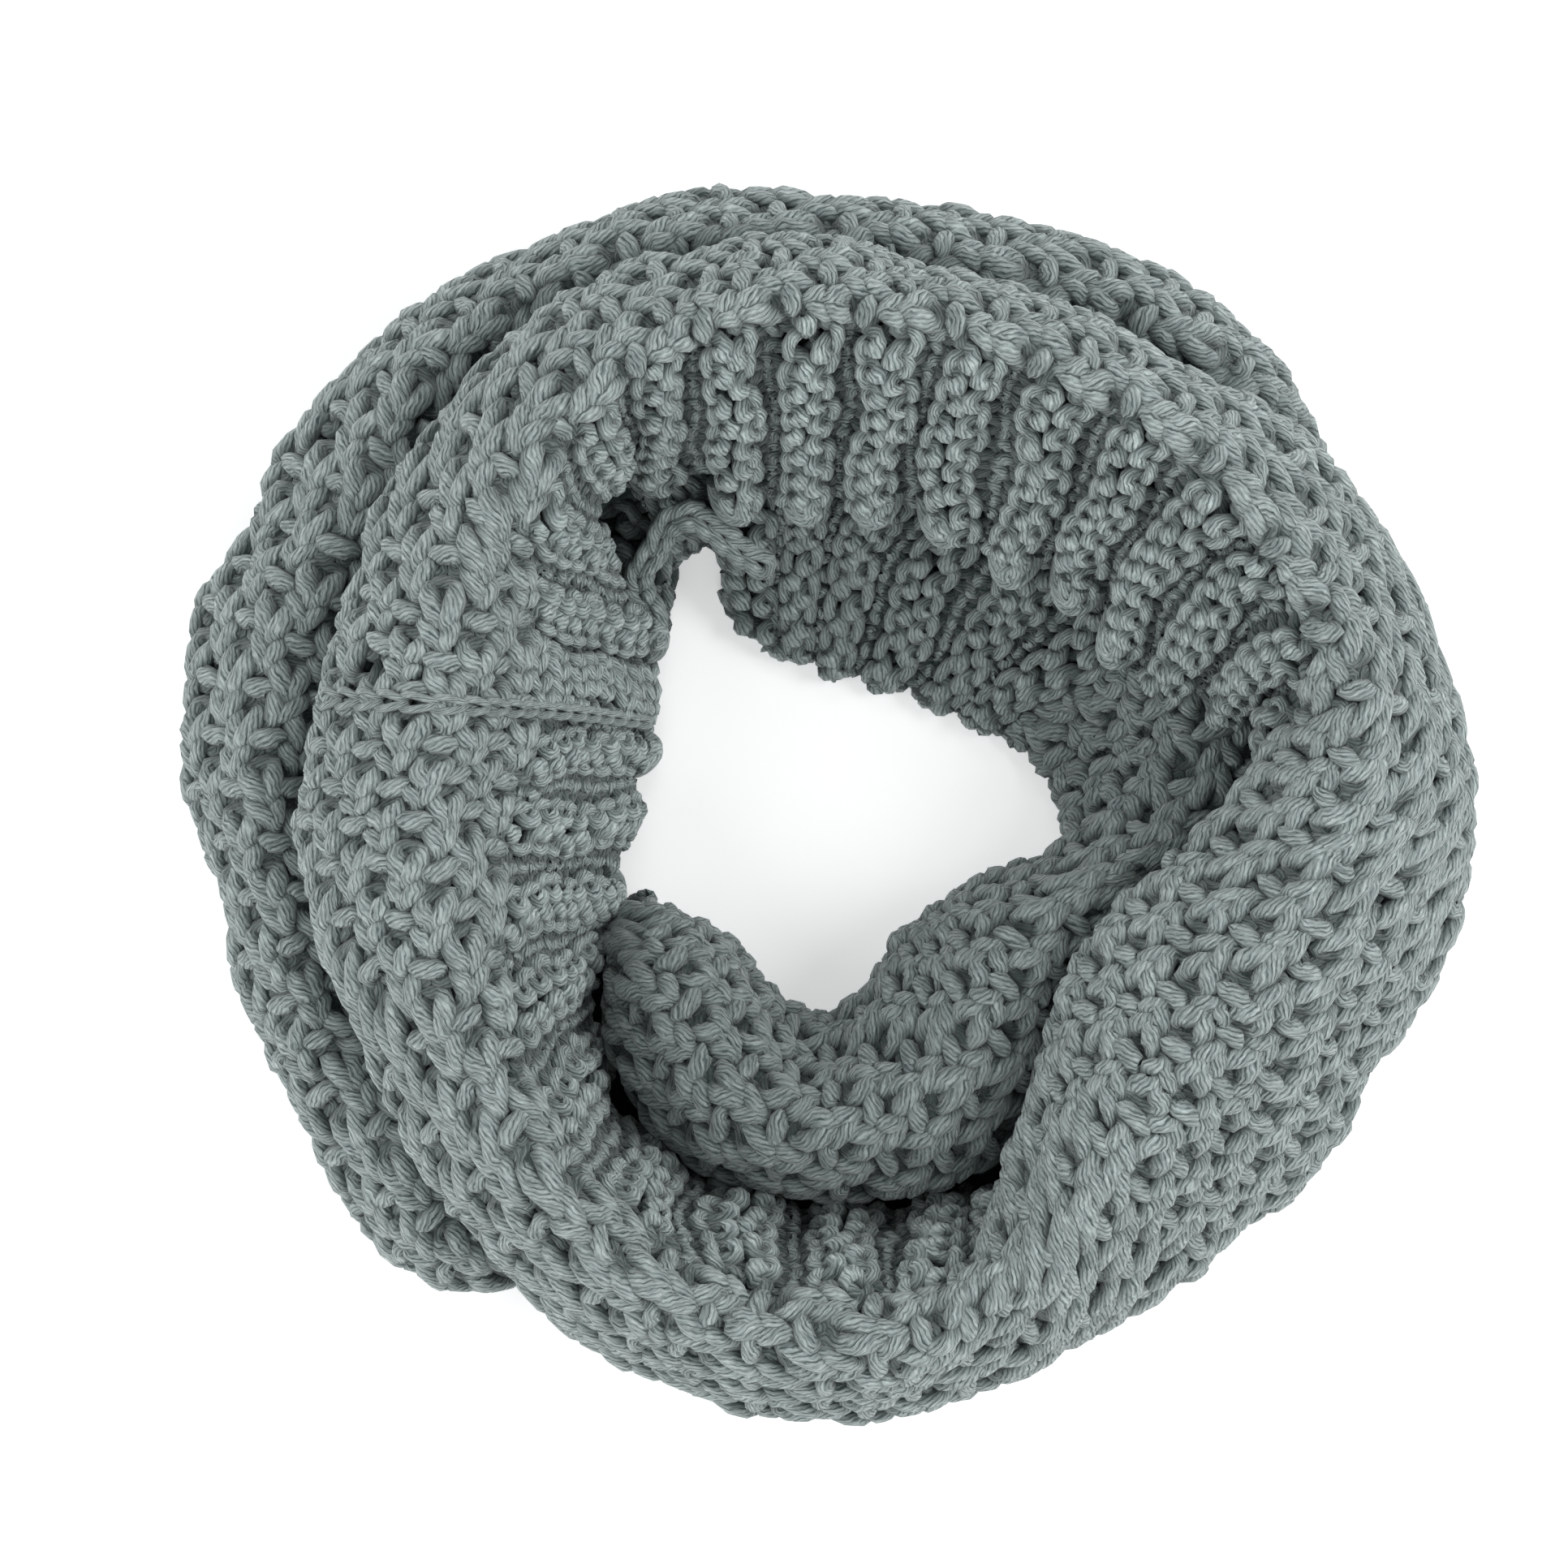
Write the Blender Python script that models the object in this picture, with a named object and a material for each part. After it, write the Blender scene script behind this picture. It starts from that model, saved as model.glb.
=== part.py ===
# Infinity scarf: one wide band of chunky knit, its ends sewn together, wound in two turns and laid
# down in a ring. The cloth is modelled as walls, one for each stretch that shows, over one rounded
# solid that stands for the hidden layers. Z is up, the scarf rests on z = 0, and the origin is
# under the middle of the ring. The tables are in millimetres and degrees; meshes are in metres.

import bpy
import numpy as np
from mathutils import Vector
from mathutils.bvhtree import BVHTree

MM = 0.001
WALL = 6.0               # thickness of the knitted cloth
GAP = 0.3                # clearance where two pieces meet
TABLE_MIDDLE = (-1.0, 1.0, 0.0)  # middle of the ring's outline in the tables' own coordinates
BORDER_WIDTH = 66.0      # welted border, measured in from the hem
WELT_RISE = 3.6          # a welt's crest above the plain cloth
WELT_SINK = 1.2          # the channel between two welts, below the plain cloth
WELT_FADE = 9.0          # length over which a welt dies out at the border's two edges
HEM_ROUND = 2.4          # how far the bound edge swells past the cloth's end
SEAM_WELT = 0.65         # where the two ends of the band are sewn together
SEAM_WIDTH = 5.0
SEAM_HEIGHT = 2.6
TURN_WELTS = 32          # welts in one turn round the ring
DEGREES_PER_WELT = 10.5  # along the outer turn

# The upper turn. One row for each measured section, counted in welts clockwise from the seam.
# The section runs from the hem, up the inner side and over the crown, to the foot outside.
# tucked is how much of the border is folded away under the section's first point.
UPPER_COLUMNS = ("welt", "crown_angle", "hem_angle", "hem_r", "hem_z", "inner_r", "inner_z",
                 "crown_r", "crown_z", "outer_r", "outer_z", "foot_z", "tucked")
UPPER_SECTIONS = (
    (0, 173, 163, 49, 8, 76, 58, 106, 88, 138, 60, 47, 0),
    (1, 161, 149, 53, 8, 79, 58, 108, 88, 137, 60, 47, 0),
    (2, 149, 134, 62, 12, 86, 58, 112, 88, 138.5, 60, 47, 2),
    (3, 136, 129.5, 84, 30, 93, 60, 119, 87, 145, 60, 47, 13),
    (4, 121, 122.5, 100, 36, 103, 61, 124, 87, 150, 60, 47, 14),
    (5, 111, 117.5, 99, 40, 110, 65, 129, 87, 151, 60, 47, 14),
    (6, 101.5, 107, 86, 40, 106, 67, 132, 88, 150, 60, 47, 4),
    (7, 92, 95, 80, 40, 103, 67, 132, 88, 148, 60, 47, 0),
    (9, 73, 68.5, 80, 40, 102, 67, 130, 88, 143.5, 60, 47, 0),
    (10, 61.5, 53.5, 79, 40, 103, 67, 132, 88, 144.5, 60, 47, 0),
    (11, 51.5, 42, 85, 40, 106, 67, 134, 88, 147, 59, 46, 0),
    (12, 42, 30.5, 87, 41, 108, 67, 134, 88, 152.5, 55, 40, 2),
    (13, 32, 21, 94, 42, 113, 67, 136, 87, 159, 46, 16, 8),
    (14, 24, 13, 107, 43, 119, 66, 138, 86, 162.5, 38, 0, 18),
    (15, 14, 6, 118, 41, 116, 60, 138, 84, 166, 35, 0, 40),
    (16, 4, -1, 117, 38, 107, 57, 134, 82, 168.5, 34, 0, 62),
    (17, -6, -8, 105, 36, 93, 56, 130, 82, 168.5, 34, 0, 66),
    (18, -17, -19, 92, 34, 80, 56, 124, 83, 163.5, 35, 0, 66),
    (19, -28, -30, 88, 32, 76, 56, 118, 84, 157.5, 36, 0, 66),
    (20, -38, -40, 88, 32, 77, 56, 114, 84, 158, 36, 0, 66),
    (21, -48, -50, 95, 30, 84, 56, 116, 83, 155, 36, 0, 66),
    (22, -58, -60, 107, 30, 98, 56, 123, 82, 154, 36, 0, 60),
    (23, -68, -67, 113, 29, 112, 54, 132, 80, 155.5, 36, 0, 40),
    (24, -79, -73.5, 108, 28, 118, 54, 138, 79, 159, 36, 0, 22),
    (25, -89, -88, 105, 27, 116, 54, 138, 79, 160.5, 36, 0, 18),
    (26, -102, -102, 103, 27, 114, 54, 136, 80, 157, 36, 0, 18),
    (27, -114.5, -117.5, 99, 28, 110, 55, 131, 82, 155.5, 38, 0, 18),
    (28, -131, -132, 89, 27, 99, 56, 120, 85, 145.5, 56, 44, 14),
    (29, -147, -147, 73, 24, 86, 57, 112, 87, 138, 60, 47, 8),
    (30, -163, -157, 61, 16, 80, 58, 108, 88, 138, 60, 47, 0),
    (31, -176.5, -176.5, 52, 9, 77, 58, 106, 88, 139, 60, 47, 0),
)

# The inner turn, which lines the ring: a welted wall at the back and a roll at the front.
# The section runs from the edge beside the hole, up and over, to where it dives under the
# upper turn.
INNER_COLUMNS = ("welt", "back_angle", "edge_angle", "edge_r", "edge_z", "mid_r", "mid_z",
                 "back_r", "back_z", "tuck_r", "tuck_z")
INNER_SECTIONS = (
    (-0.8, 126, 130.5, 67, 5, 75, 9, 83, 13, 92, 13),
    (-0.4, 122.5, 126.5, 71, 8, 79, 16, 87, 22, 97, 24),
    (0, 119, 121.5, 78, 12, 84, 21, 91, 28, 102, 30),
    (0.35, 115.5, 118.3, 71, 9, 79, 20, 90, 30, 104, 33),
    (0.65, 110.5, 116, 57, 6, 72, 18, 88, 31, 104, 34),
    (1, 105, 111.5, 48, 5, 67, 18, 86, 31, 104, 34),
    (2, 94, 102.5, 41.5, 5, 62, 18, 82, 31, 104, 34),
    (3, 81, 89, 36.5, 5, 59, 18, 81, 31, 104, 34),
    (4, 65.5, 67, 35.5, 5, 58, 18, 81, 31, 104, 34),
    (5, 48, 46, 38.5, 5, 60, 18, 83, 31, 105, 34),
    (6, 34, 29, 45, 5, 66, 19, 90, 32, 109, 34),
    (7, 20, 14, 57, 5, 76, 21, 97, 34, 114, 34),
    (8, 8, 4, 61.5, 7, 79, 24, 99, 35, 114, 33),
    (8.7, -2, -4, 62.5, 11, 76, 30, 93, 39, 107, 31),
    (9.3, -10, -12, 60.5, 17, 70, 40, 83, 44, 97, 29),
    (9.8, -18, -20, 51.5, 22, 61.5, 48, 76.5, 48, 87, 28),
    (10.3, -28, -29, 43, 24, 57, 53, 74, 49, 84, 27),
    (10.9, -40, -40, 39, 24, 57, 57, 75.5, 49, 84, 26),
    (11.6, -53, -52, 38, 24, 65, 58, 88, 45, 92, 22),
    (12.4, -68, -67, 41, 24, 78, 60, 106, 40, 98, 14),
    (13.2, -82, -82, 52, 24, 82, 60, 106, 38, 97, 12),
    (13.9, -94, -94, 58, 24, 84, 60, 105, 38, 96, 12),
    (14.7, -108, -108, 51.5, 24, 78, 59, 101, 38, 92, 12),
    (15.5, -122, -122, 44.5, 24, 70, 56, 92, 38, 83, 12),
    (16.3, -138, -137, 46, 24, 62, 50, 80, 34, 74, 12),
    (16.9, -149, -148, 51, 20, 58, 33, 67, 24, 67, 10),
    (17.3, -155.5, -154, 54, 9, 58, 14, 63, 13, 65, 7),
)
INNER_WELTS_END = 6.5    # past this section the inner turn shows its textured middle

# The outer turn, the lower layer that shows outside the upper one on the left and at the back.
OUTER_COLUMNS = ("angle", "tuck_r", "tuck_z", "crown_r", "crown_z", "outer_r", "outer_z")
OUTER_SECTIONS = (
    (-122, 143, 7, 147, 8, 151, 4),
    (-126, 141, 22, 148, 25, 157.5, 13),
    (-132, 139, 36, 151, 39, 164, 20),
    (-141, 134, 42, 149, 45, 165, 24),
    (-151, 133, 43, 148, 47, 161, 25),
    (-161, 133, 43, 149, 47, 163, 25),
    (-171, 133, 43, 149, 47, 164, 25),
    (-181, 135, 43, 152, 48, 168, 26),
    (-191, 133, 43, 153, 48, 173, 26),
    (-199, 132, 43, 153, 48, 175, 26),
    (-204, 132, 43, 150, 46, 169.5, 25),
    (-212, 134, 43, 153, 47, 172, 25),
    (-220, 139, 43, 156, 47, 173, 25),
    (-230, 144, 43, 158, 47, 171, 25),
    (-245, 146, 43, 157, 47, 168.5, 25),
    (-260, 145, 43, 155, 47, 165, 25),
    (-272, 142, 43, 151, 47, 161, 25),
    (-285, 139, 43, 150, 47, 161.5, 25),
    (-300, 140, 43, 153, 47, 167, 25),
    (-310, 144, 42, 156, 46, 168, 25),
    (-317, 150, 33, 158, 36, 167.5, 20),
    (-323, 154, 17, 158, 20, 163, 11),
    (-327, 156, 6, 158, 7, 161, 4),
)

# The rounded solid of hidden layers: how far in and out it reaches under the walls.
CORE_COLUMNS = ("angle", "inner_r", "outer_r")
CORE_SECTIONS = (
    (0, 81, 150), (-15, 74, 146), (-30, 62, 139), (-60, 59, 137), (-90, 75, 142),
    (-120, 65, 138), (-145, 70, 140), (-165, 80, 143), (-185, 72, 148), (-205, 75, 149),
    (-225, 98, 151), (-240, 97, 149), (-255, 66, 145), (-275, 54, 140), (-300, 54, 146),
    (-325, 70, 142), (-345, 80, 145),
)

YARN_COLOURS = {          # base colour of each stretch's own material
    "textured": (0.205, 0.262, 0.252),
    "welted": (0.188, 0.243, 0.233),
    "hidden": (0.120, 0.160, 0.155),
}


# ---------------------------------------------------------------- curves through the tables

def hermite(knots, values, at):
    """A smooth curve through values at knots, read at the places in at."""
    knots = np.asarray(knots, float)
    values = np.asarray(values, float)
    at = np.asarray(at, float)
    step = np.diff(knots)
    slope = np.diff(values, axis=0) / step[:, None]
    tangent = np.empty_like(values)
    tangent[0] = slope[0]
    tangent[-1] = slope[-1]
    before = step[:-1, None]
    after = step[1:, None]
    tangent[1:-1] = (slope[:-1] * after + slope[1:] * before) / (before + after)
    span = np.clip(np.searchsorted(knots, at, side="right") - 1, 0, len(step) - 1)
    width = step[span][:, None]
    t = ((at - knots[span]) / step[span])[:, None]
    return ((2 * t**3 - 3 * t**2 + 1) * values[span] + (t**3 - 2 * t**2 + t) * width * tangent[span]
            + (3 * t**2 - 2 * t**3) * values[span + 1] + (t**3 - t**2) * width * tangent[span + 1])


def closed_rows(rows, turn, drop):
    """The rows of a full ring, with three repeated at each end so that the curve closes."""
    table = np.array(rows, float)
    shift = np.zeros(table.shape[1])
    shift[0] = turn
    shift[1:1 + drop] = -360.0
    return np.vstack([table[-3:] - shift, table, table[:3] + shift])


UPPER_TABLE = closed_rows(UPPER_SECTIONS, TURN_WELTS, 2)
INNER_TABLE = np.array(INNER_SECTIONS, float)
OUTER_TABLE = np.array(OUTER_SECTIONS, float)[:, :]
OUTER_TABLE = np.hstack([(OUTER_TABLE[0, 0] - OUTER_TABLE[:, :1]) / DEGREES_PER_WELT, OUTER_TABLE])


def upper_ring(welts):
    """Guide points of the upper turn's section at each welt: (angle, radius, height) each."""
    row = dict(zip(UPPER_COLUMNS, hermite(UPPER_TABLE[:, 0], UPPER_TABLE, welts).T))
    crown = row["crown_angle"]
    lean = row["hem_angle"] - crown
    foot_z = np.maximum(row["foot_z"], 0.0)
    foot_r = row["outer_r"] - 3.0 - 0.10 * (row["outer_z"] - foot_z)
    return ((row["hem_angle"], row["hem_r"], row["hem_z"]),
            (crown + 0.4 * lean, row["inner_r"], row["inner_z"]),
            (crown, row["crown_r"], row["crown_z"]),
            (crown - 0.25 * lean, row["outer_r"], row["outer_z"]),
            (crown - 0.30 * lean, foot_r, foot_z))


def border_end(welts):
    """Distance from the section's first point to the border's outer edge."""
    tucked = hermite(UPPER_TABLE[:, 0], UPPER_TABLE[:, -1:], welts)[:, 0]
    return BORDER_WIDTH - tucked


def inner_ring(welts):
    """Guide points of the inner turn's section at each welt."""
    row = dict(zip(INNER_COLUMNS, hermite(INNER_TABLE[:, 0], INNER_TABLE, welts).T))
    edge = row["edge_angle"]
    back = row["back_angle"]
    foot_r = row["edge_r"] + 0.26 * row["edge_z"]
    return ((edge, foot_r, 0.0 * foot_r),
            (edge, row["edge_r"], row["edge_z"]),
            (0.5 * (edge + back), row["mid_r"], row["mid_z"]),
            (back, row["back_r"], row["back_z"]),
            (back, row["tuck_r"], row["tuck_z"]))


def outer_ring(welts):
    """Guide points of the outer turn's section at each welt."""
    row = hermite(OUTER_TABLE[:, 0], OUTER_TABLE[:, 1:], welts).T
    row = dict(zip(OUTER_COLUMNS, row))
    angle = row["angle"]
    foot_r = row["outer_r"] - 0.28 * row["outer_z"]
    return ((angle, row["tuck_r"], row["tuck_z"]),
            (angle, row["crown_r"], row["crown_z"]),
            (angle, row["outer_r"], row["outer_z"]),
            (angle, foot_r, 0.0 * foot_r))


# ---------------------------------------------------------------- the cloth's surface

SECTION_SAMPLES = 72


def sections(ring, welts):
    """For each welt: fine points of its section, and their distance along the cloth."""
    guides = np.stack([np.stack(point, axis=1) for point in ring(np.asarray(welts, float))], axis=1)
    angle = np.radians(guides[..., 0])
    points = np.stack([guides[..., 1] * np.cos(angle), guides[..., 1] * np.sin(angle),
                       guides[..., 2]], axis=-1)
    fine = []
    along = []
    for line in points:
        chord = np.r_[0.0, np.cumsum(np.linalg.norm(np.diff(line, axis=0), axis=1) ** 0.5)]
        curve = hermite(chord, line, np.linspace(0.0, chord[-1], SECTION_SAMPLES))
        curve[:, 2] = np.maximum(curve[:, 2], 0.0)
        fine.append(curve)
        along.append(np.r_[0.0, np.cumsum(np.linalg.norm(np.diff(curve, axis=0), axis=1))])
    return np.array(fine), np.array(along)


def read_sections(fine, along, distance):
    """Points at the given distances, a row of them for each section."""
    out = np.empty(distance.shape + (3,))
    for i in range(len(fine)):
        for axis in range(3):
            out[i, :, axis] = np.interp(distance[i], along[i], fine[i, :, axis])
    return out


def cloth_points(ring, welts, distance):
    """Points of the cloth's face, its outward normals and its direction along the band."""
    step_welt = 0.05
    step_along = 1.0
    here = sections(ring, welts)
    last = here[1][:, -1:]
    distance = np.minimum(distance, last)
    points = read_sections(*here, distance)
    before = read_sections(*sections(ring, welts - step_welt), distance)
    after = read_sections(*sections(ring, welts + step_welt), distance)
    low = np.clip(distance - step_along, 0.0, last)
    high = np.clip(distance + step_along, 0.0, last)
    across = read_sections(*here, high) - read_sections(*here, low)
    normal = np.cross(after - before, across)
    normal /= np.linalg.norm(normal, axis=-1, keepdims=True)
    forward = np.cross(across, normal)
    forward /= np.linalg.norm(forward, axis=-1, keepdims=True)
    return points, normal, forward


def welt_wave(welts):
    """1 on a welt's crest, 0 in the channel; the pair of rows beside the seam is plain."""
    phase = (welts + 0.5) % 1.0 - 0.5
    wave = np.clip(1.35 * (0.5 + 0.5 * np.cos(2.0 * np.pi * phase)) - 0.12, 0.0, 1.0)
    plain = np.abs((welts + 0.5) % TURN_WELTS - 1.5) < 0.5
    return np.where(plain, 0.0, wave)


def welt_relief(welts, distance, start, end):
    """Height of the welts above the cloth, dying out at the border's two edges."""
    rise = WELT_SINK + WELT_RISE
    fade_in = np.clip((distance - start) / (0.5 * WELT_FADE) + 0.45, 0.0, 1.0)
    fade_out = np.clip((end - distance) / WELT_FADE, 0.0, 1.0)
    return (welt_wave(welts)[:, None] * rise - WELT_SINK) * fade_in * fade_out


# ---------------------------------------------------------------- meshes

def add_piece(name, verts, faces, look, collection):
    mesh = bpy.data.meshes.new(name)
    placed = (np.asarray(verts) - np.array(TABLE_MIDDLE)) * MM
    mesh.from_pydata([tuple(v) for v in placed], [], faces)
    mesh.validate()
    mesh.shade_smooth()
    piece = bpy.data.objects.new(name, mesh)
    collection.objects.link(piece)
    material = bpy.data.materials.new(name + "_wool")
    material.use_nodes = True
    shader = material.node_tree.nodes["Principled BSDF"]
    shader.inputs["Base Color"].default_value = (*YARN_COLOURS[look], 1.0)
    shader.inputs["Roughness"].default_value = 0.95
    shader.inputs["Metallic"].default_value = 0.0
    mesh.materials.append(material)
    return piece


def wall_faces(count_u, count_v):
    """Faces of a closed wall: a front grid, a back grid and the four rims between them."""
    def front(i, j):
        return i * count_v + j

    def back(i, j):
        return count_u * count_v + i * count_v + j

    faces = []
    for i in range(count_u - 1):
        for j in range(count_v - 1):
            faces.append((front(i, j), front(i + 1, j), front(i + 1, j + 1), front(i, j + 1)))
            faces.append((back(i, j), back(i, j + 1), back(i + 1, j + 1), back(i + 1, j)))
        last = count_v - 1
        faces.append((front(i, 0), back(i, 0), back(i + 1, 0), front(i + 1, 0)))
        faces.append((front(i, last), front(i + 1, last), back(i + 1, last), back(i, last)))
    for j in range(count_v - 1):
        last = count_u - 1
        faces.append((front(0, j), front(0, j + 1), back(0, j + 1), back(0, j)))
        faces.append((front(last, j), back(last, j), back(last, j + 1), front(last, j + 1)))
    return faces


def straight_between(rows, every):
    """Points made straight between each shared one and the next, to meet a coarser edge."""
    index = np.arange(len(rows))
    shared = index[::every]
    for axis in range(3):
        rows[:, axis] = np.interp(index, shared, rows[shared, axis])


def cloth_wall(name, ring, welts, spans, look, collection, hem=False, shared=0):
    """A wall of cloth over a range of welts. spans gives the distances from the hem at which each
    section is read. On a welted piece the welts are raised on the face, over a plain back."""
    welts = np.asarray(welts, float)
    distance = spans(welts)
    welted = look == "welted"
    points, normal, forward = cloth_points(ring, welts, distance)
    front = points.copy()
    if welted:
        relief = welt_relief(welts, distance, distance[:, :1], distance[:, -1:])
        front += normal * relief[..., None]
    back = points - normal * WALL
    if hem:
        edge = points[:, 0] - points[:, 1]
        edge /= np.linalg.norm(edge, axis=-1, keepdims=True)
        swell = HEM_ROUND * (0.4 + 0.6 * welt_wave(welts))[:, None]
        front[:, 0] += edge * 0.4 * swell - normal[:, 0] * 1.6
        back[:, 0] += edge * 0.4 * swell + normal[:, 0] * 1.2
    for layer in (front, back):
        layer[0] += forward[0] * (0.75 * GAP)
        layer[-1] -= forward[-1] * (0.75 * GAP)
        layer[..., 2] = np.maximum(layer[..., 2], 0.0)
        layer[points[..., 2] < 0.01, 2] = 0.0
        if shared:
            straight_between(layer[:, -1], shared)
    verts = np.vstack([front.reshape(-1, 3), back.reshape(-1, 3)])
    return add_piece(name, verts, wall_faces(*distance.shape), look, collection)


def even(first, last, count):
    """Even distances from first to last, a row for each section."""
    share = np.linspace(0.0, 1.0, count)
    return first[:, None] + (last - first)[:, None] * share[None, :]


def whole_section(ring, count):
    def spans(welts):
        total = sections(ring, welts)[1][:, -1]
        return even(0.0 * total, total, count)
    return spans


def border_span(welts):
    end = border_end(welts) - 0.7 * GAP
    return even(0.0 * end, end, 6)


def middle_span(welts):
    return even(border_end(welts) + 0.7 * GAP, sections(upper_ring, welts)[1][:, -1], 8)


def folded_span(welts):
    """The stretch whose border is folded under: rows meet those of its neighbours."""
    total = sections(upper_ring, welts)[1][:, -1]
    end = np.clip(border_end(welts), 26.0, None)
    return np.hstack([even(0.0 * end, end, 6), even(end, total, 8)[:, 1:]])


def welt_steps(first, last, per_welt):
    return np.linspace(first, last, int(round((last - first) * per_welt)) + 1)


def seam_piece(collection):
    """The sewn seam: a low rounded cord of stitches that lies across the upper turn."""
    half = 0.5 * SEAM_WIDTH
    distance = np.linspace(6.0, 150.0, 26)
    grid = np.array([SEAM_WELT])
    points, normal, forward = cloth_points(upper_ring, grid, distance[None, :])
    points, normal, forward = points[0], normal[0], forward[0]
    profile = ((-half, GAP + 0.3), (-0.6 * half, SEAM_HEIGHT * 0.75), (0.0, SEAM_HEIGHT),
               (0.6 * half, SEAM_HEIGHT * 0.75), (half, GAP + 0.3))
    rings = [points + forward * side + normal * height for side, height in profile]
    count = len(distance)
    verts = np.vstack(rings)
    sides = len(profile)
    faces = []
    for k in range(sides):
        k2 = (k + 1) % sides
        for i in range(count - 1):
            faces.append((k * count + i, k2 * count + i, k2 * count + i + 1, k * count + i + 1))
    faces.append(tuple(k * count for k in reversed(range(sides))))
    faces.append(tuple(k * count + count - 1 for k in range(sides)))
    return add_piece("joining_seam", verts, faces, "welted", collection)


def core_piece(walls, collection):
    """The rounded solid under the walls. Rays cast up from the floor find the room it has."""
    around = 66
    across = 8
    fine = 4
    clearance = 0.8
    verts = []
    faces = []
    base = 0
    for wall in walls:
        mesh = wall.data
        verts += [tuple(v.co / MM + Vector(TABLE_MIDDLE)) for v in mesh.vertices]
        faces += [tuple(base + i for i in p.vertices) for p in mesh.polygons]
        base += len(mesh.vertices)
    tree = BVHTree.FromPolygons([Vector(v) for v in verts], faces)
    table = np.array(CORE_SECTIONS, float)
    table[:, 0] *= -1.0
    shift = np.array([360.0, 0.0, 0.0])
    table = np.vstack([table[-3:] - shift, table, table[:3] + shift])

    def place(turn, share):
        row = hermite(table[:, 0], table[:, 1:], np.array([turn]))[0]
        angle = -np.radians(turn)
        radius = row[0] + (row[1] - row[0]) * share
        return radius * np.cos(angle), radius * np.sin(angle)

    room = np.zeros((around * fine, across * fine + 1))
    for i in range(around * fine):
        for j in range(across * fine + 1):
            x, y = place(360.0 * i / (around * fine), j / (across * fine))
            hit = tree.ray_cast(Vector((x, y, -1.0)), Vector((0.0, 0.0, 1.0)))
            room[i, j] = hit[0].z if hit[0] is not None else 0.0
    reach = fine
    lowest = room.copy()
    for di in range(-reach, reach + 1):
        shifted = np.roll(room, di, axis=0)
        for dj in range(-reach, reach + 1):
            moved = shifted[:, np.clip(np.arange(across * fine + 1) + dj, 0, across * fine)]
            lowest = np.minimum(lowest, moved)
    top = np.maximum(lowest[::fine, ::fine] - clearance, 1.0)
    points = []
    for layer in ("top", "floor"):
        for i in range(around):
            for j in range(across + 1):
                x, y = place(360.0 * i / around, j / across)
                points.append((x, y, top[i, j] if layer == "top" else 0.0))
    width = across + 1
    floor = around * width
    faces = []
    for i in range(around):
        k = (i + 1) % around
        for j in range(across):
            faces.append((i * width + j, k * width + j, k * width + j + 1, i * width + j + 1))
            faces.append((floor + i * width + j, floor + i * width + j + 1,
                          floor + k * width + j + 1, floor + k * width + j))
        faces.append((i * width, floor + i * width, floor + k * width, k * width))
        faces.append((i * width + across, k * width + across, floor + k * width + across,
                      floor + i * width + across))
    return add_piece("hidden_layers", points, faces, "hidden", collection)


def build():
    for old in list(bpy.data.objects):
        bpy.data.objects.remove(old, do_unlink=True)
    collection = bpy.data.collections.new("infinity_scarf")
    bpy.context.scene.collection.children.link(collection)
    whole_turn = TURN_WELTS + SEAM_WELT
    outer_end = OUTER_TABLE[-1, 0]
    outer_rows = whole_section(outer_ring, 8)
    inner_rows = whole_section(inner_ring, 8)
    stretches = (
        ("outer_turn_left", outer_ring, welt_steps(0.0, 9.5, 2), outer_rows, "textured"),
        ("outer_turn_back", outer_ring, welt_steps(9.5, outer_end, 2), outer_rows, "textured"),
        ("upper_turn_back", upper_ring, welt_steps(SEAM_WELT, 14.5, 3), middle_span, "textured"),
        ("upper_turn_right", upper_ring, welt_steps(14.5, 23.5, 3), folded_span, "textured"),
        ("upper_turn_front", upper_ring, welt_steps(23.5, 27.5, 3), middle_span, "textured"),
        ("upper_turn_left", upper_ring, welt_steps(27.5, whole_turn, 3), middle_span, "textured"),
        ("inner_turn_back", inner_ring, welt_steps(-0.8, INNER_WELTS_END, 6), inner_rows,
         "welted"),
        ("inner_turn_front", inner_ring, welt_steps(INNER_WELTS_END, 17.3, 2.5), inner_rows,
         "textured"),
    )
    borders = (
        ("upper_border_back", welt_steps(SEAM_WELT, 14.5, 3)),
        ("upper_border_front", welt_steps(23.5, 27.5, 3)),
        ("upper_border_left", welt_steps(27.5, whole_turn, 3)),
    )
    walls = [cloth_wall(*stretch, collection) for stretch in stretches]
    for name, steps in borders:
        halves = 0.5 * (steps[1:] + steps[:-1])
        fine = np.sort(np.concatenate([steps, halves]))
        walls.append(cloth_wall(name, upper_ring, fine, border_span, "welted", collection,
                                hem=True, shared=2))
    seam_piece(collection)
    core_piece(walls, collection)


build()
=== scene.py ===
import math

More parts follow.
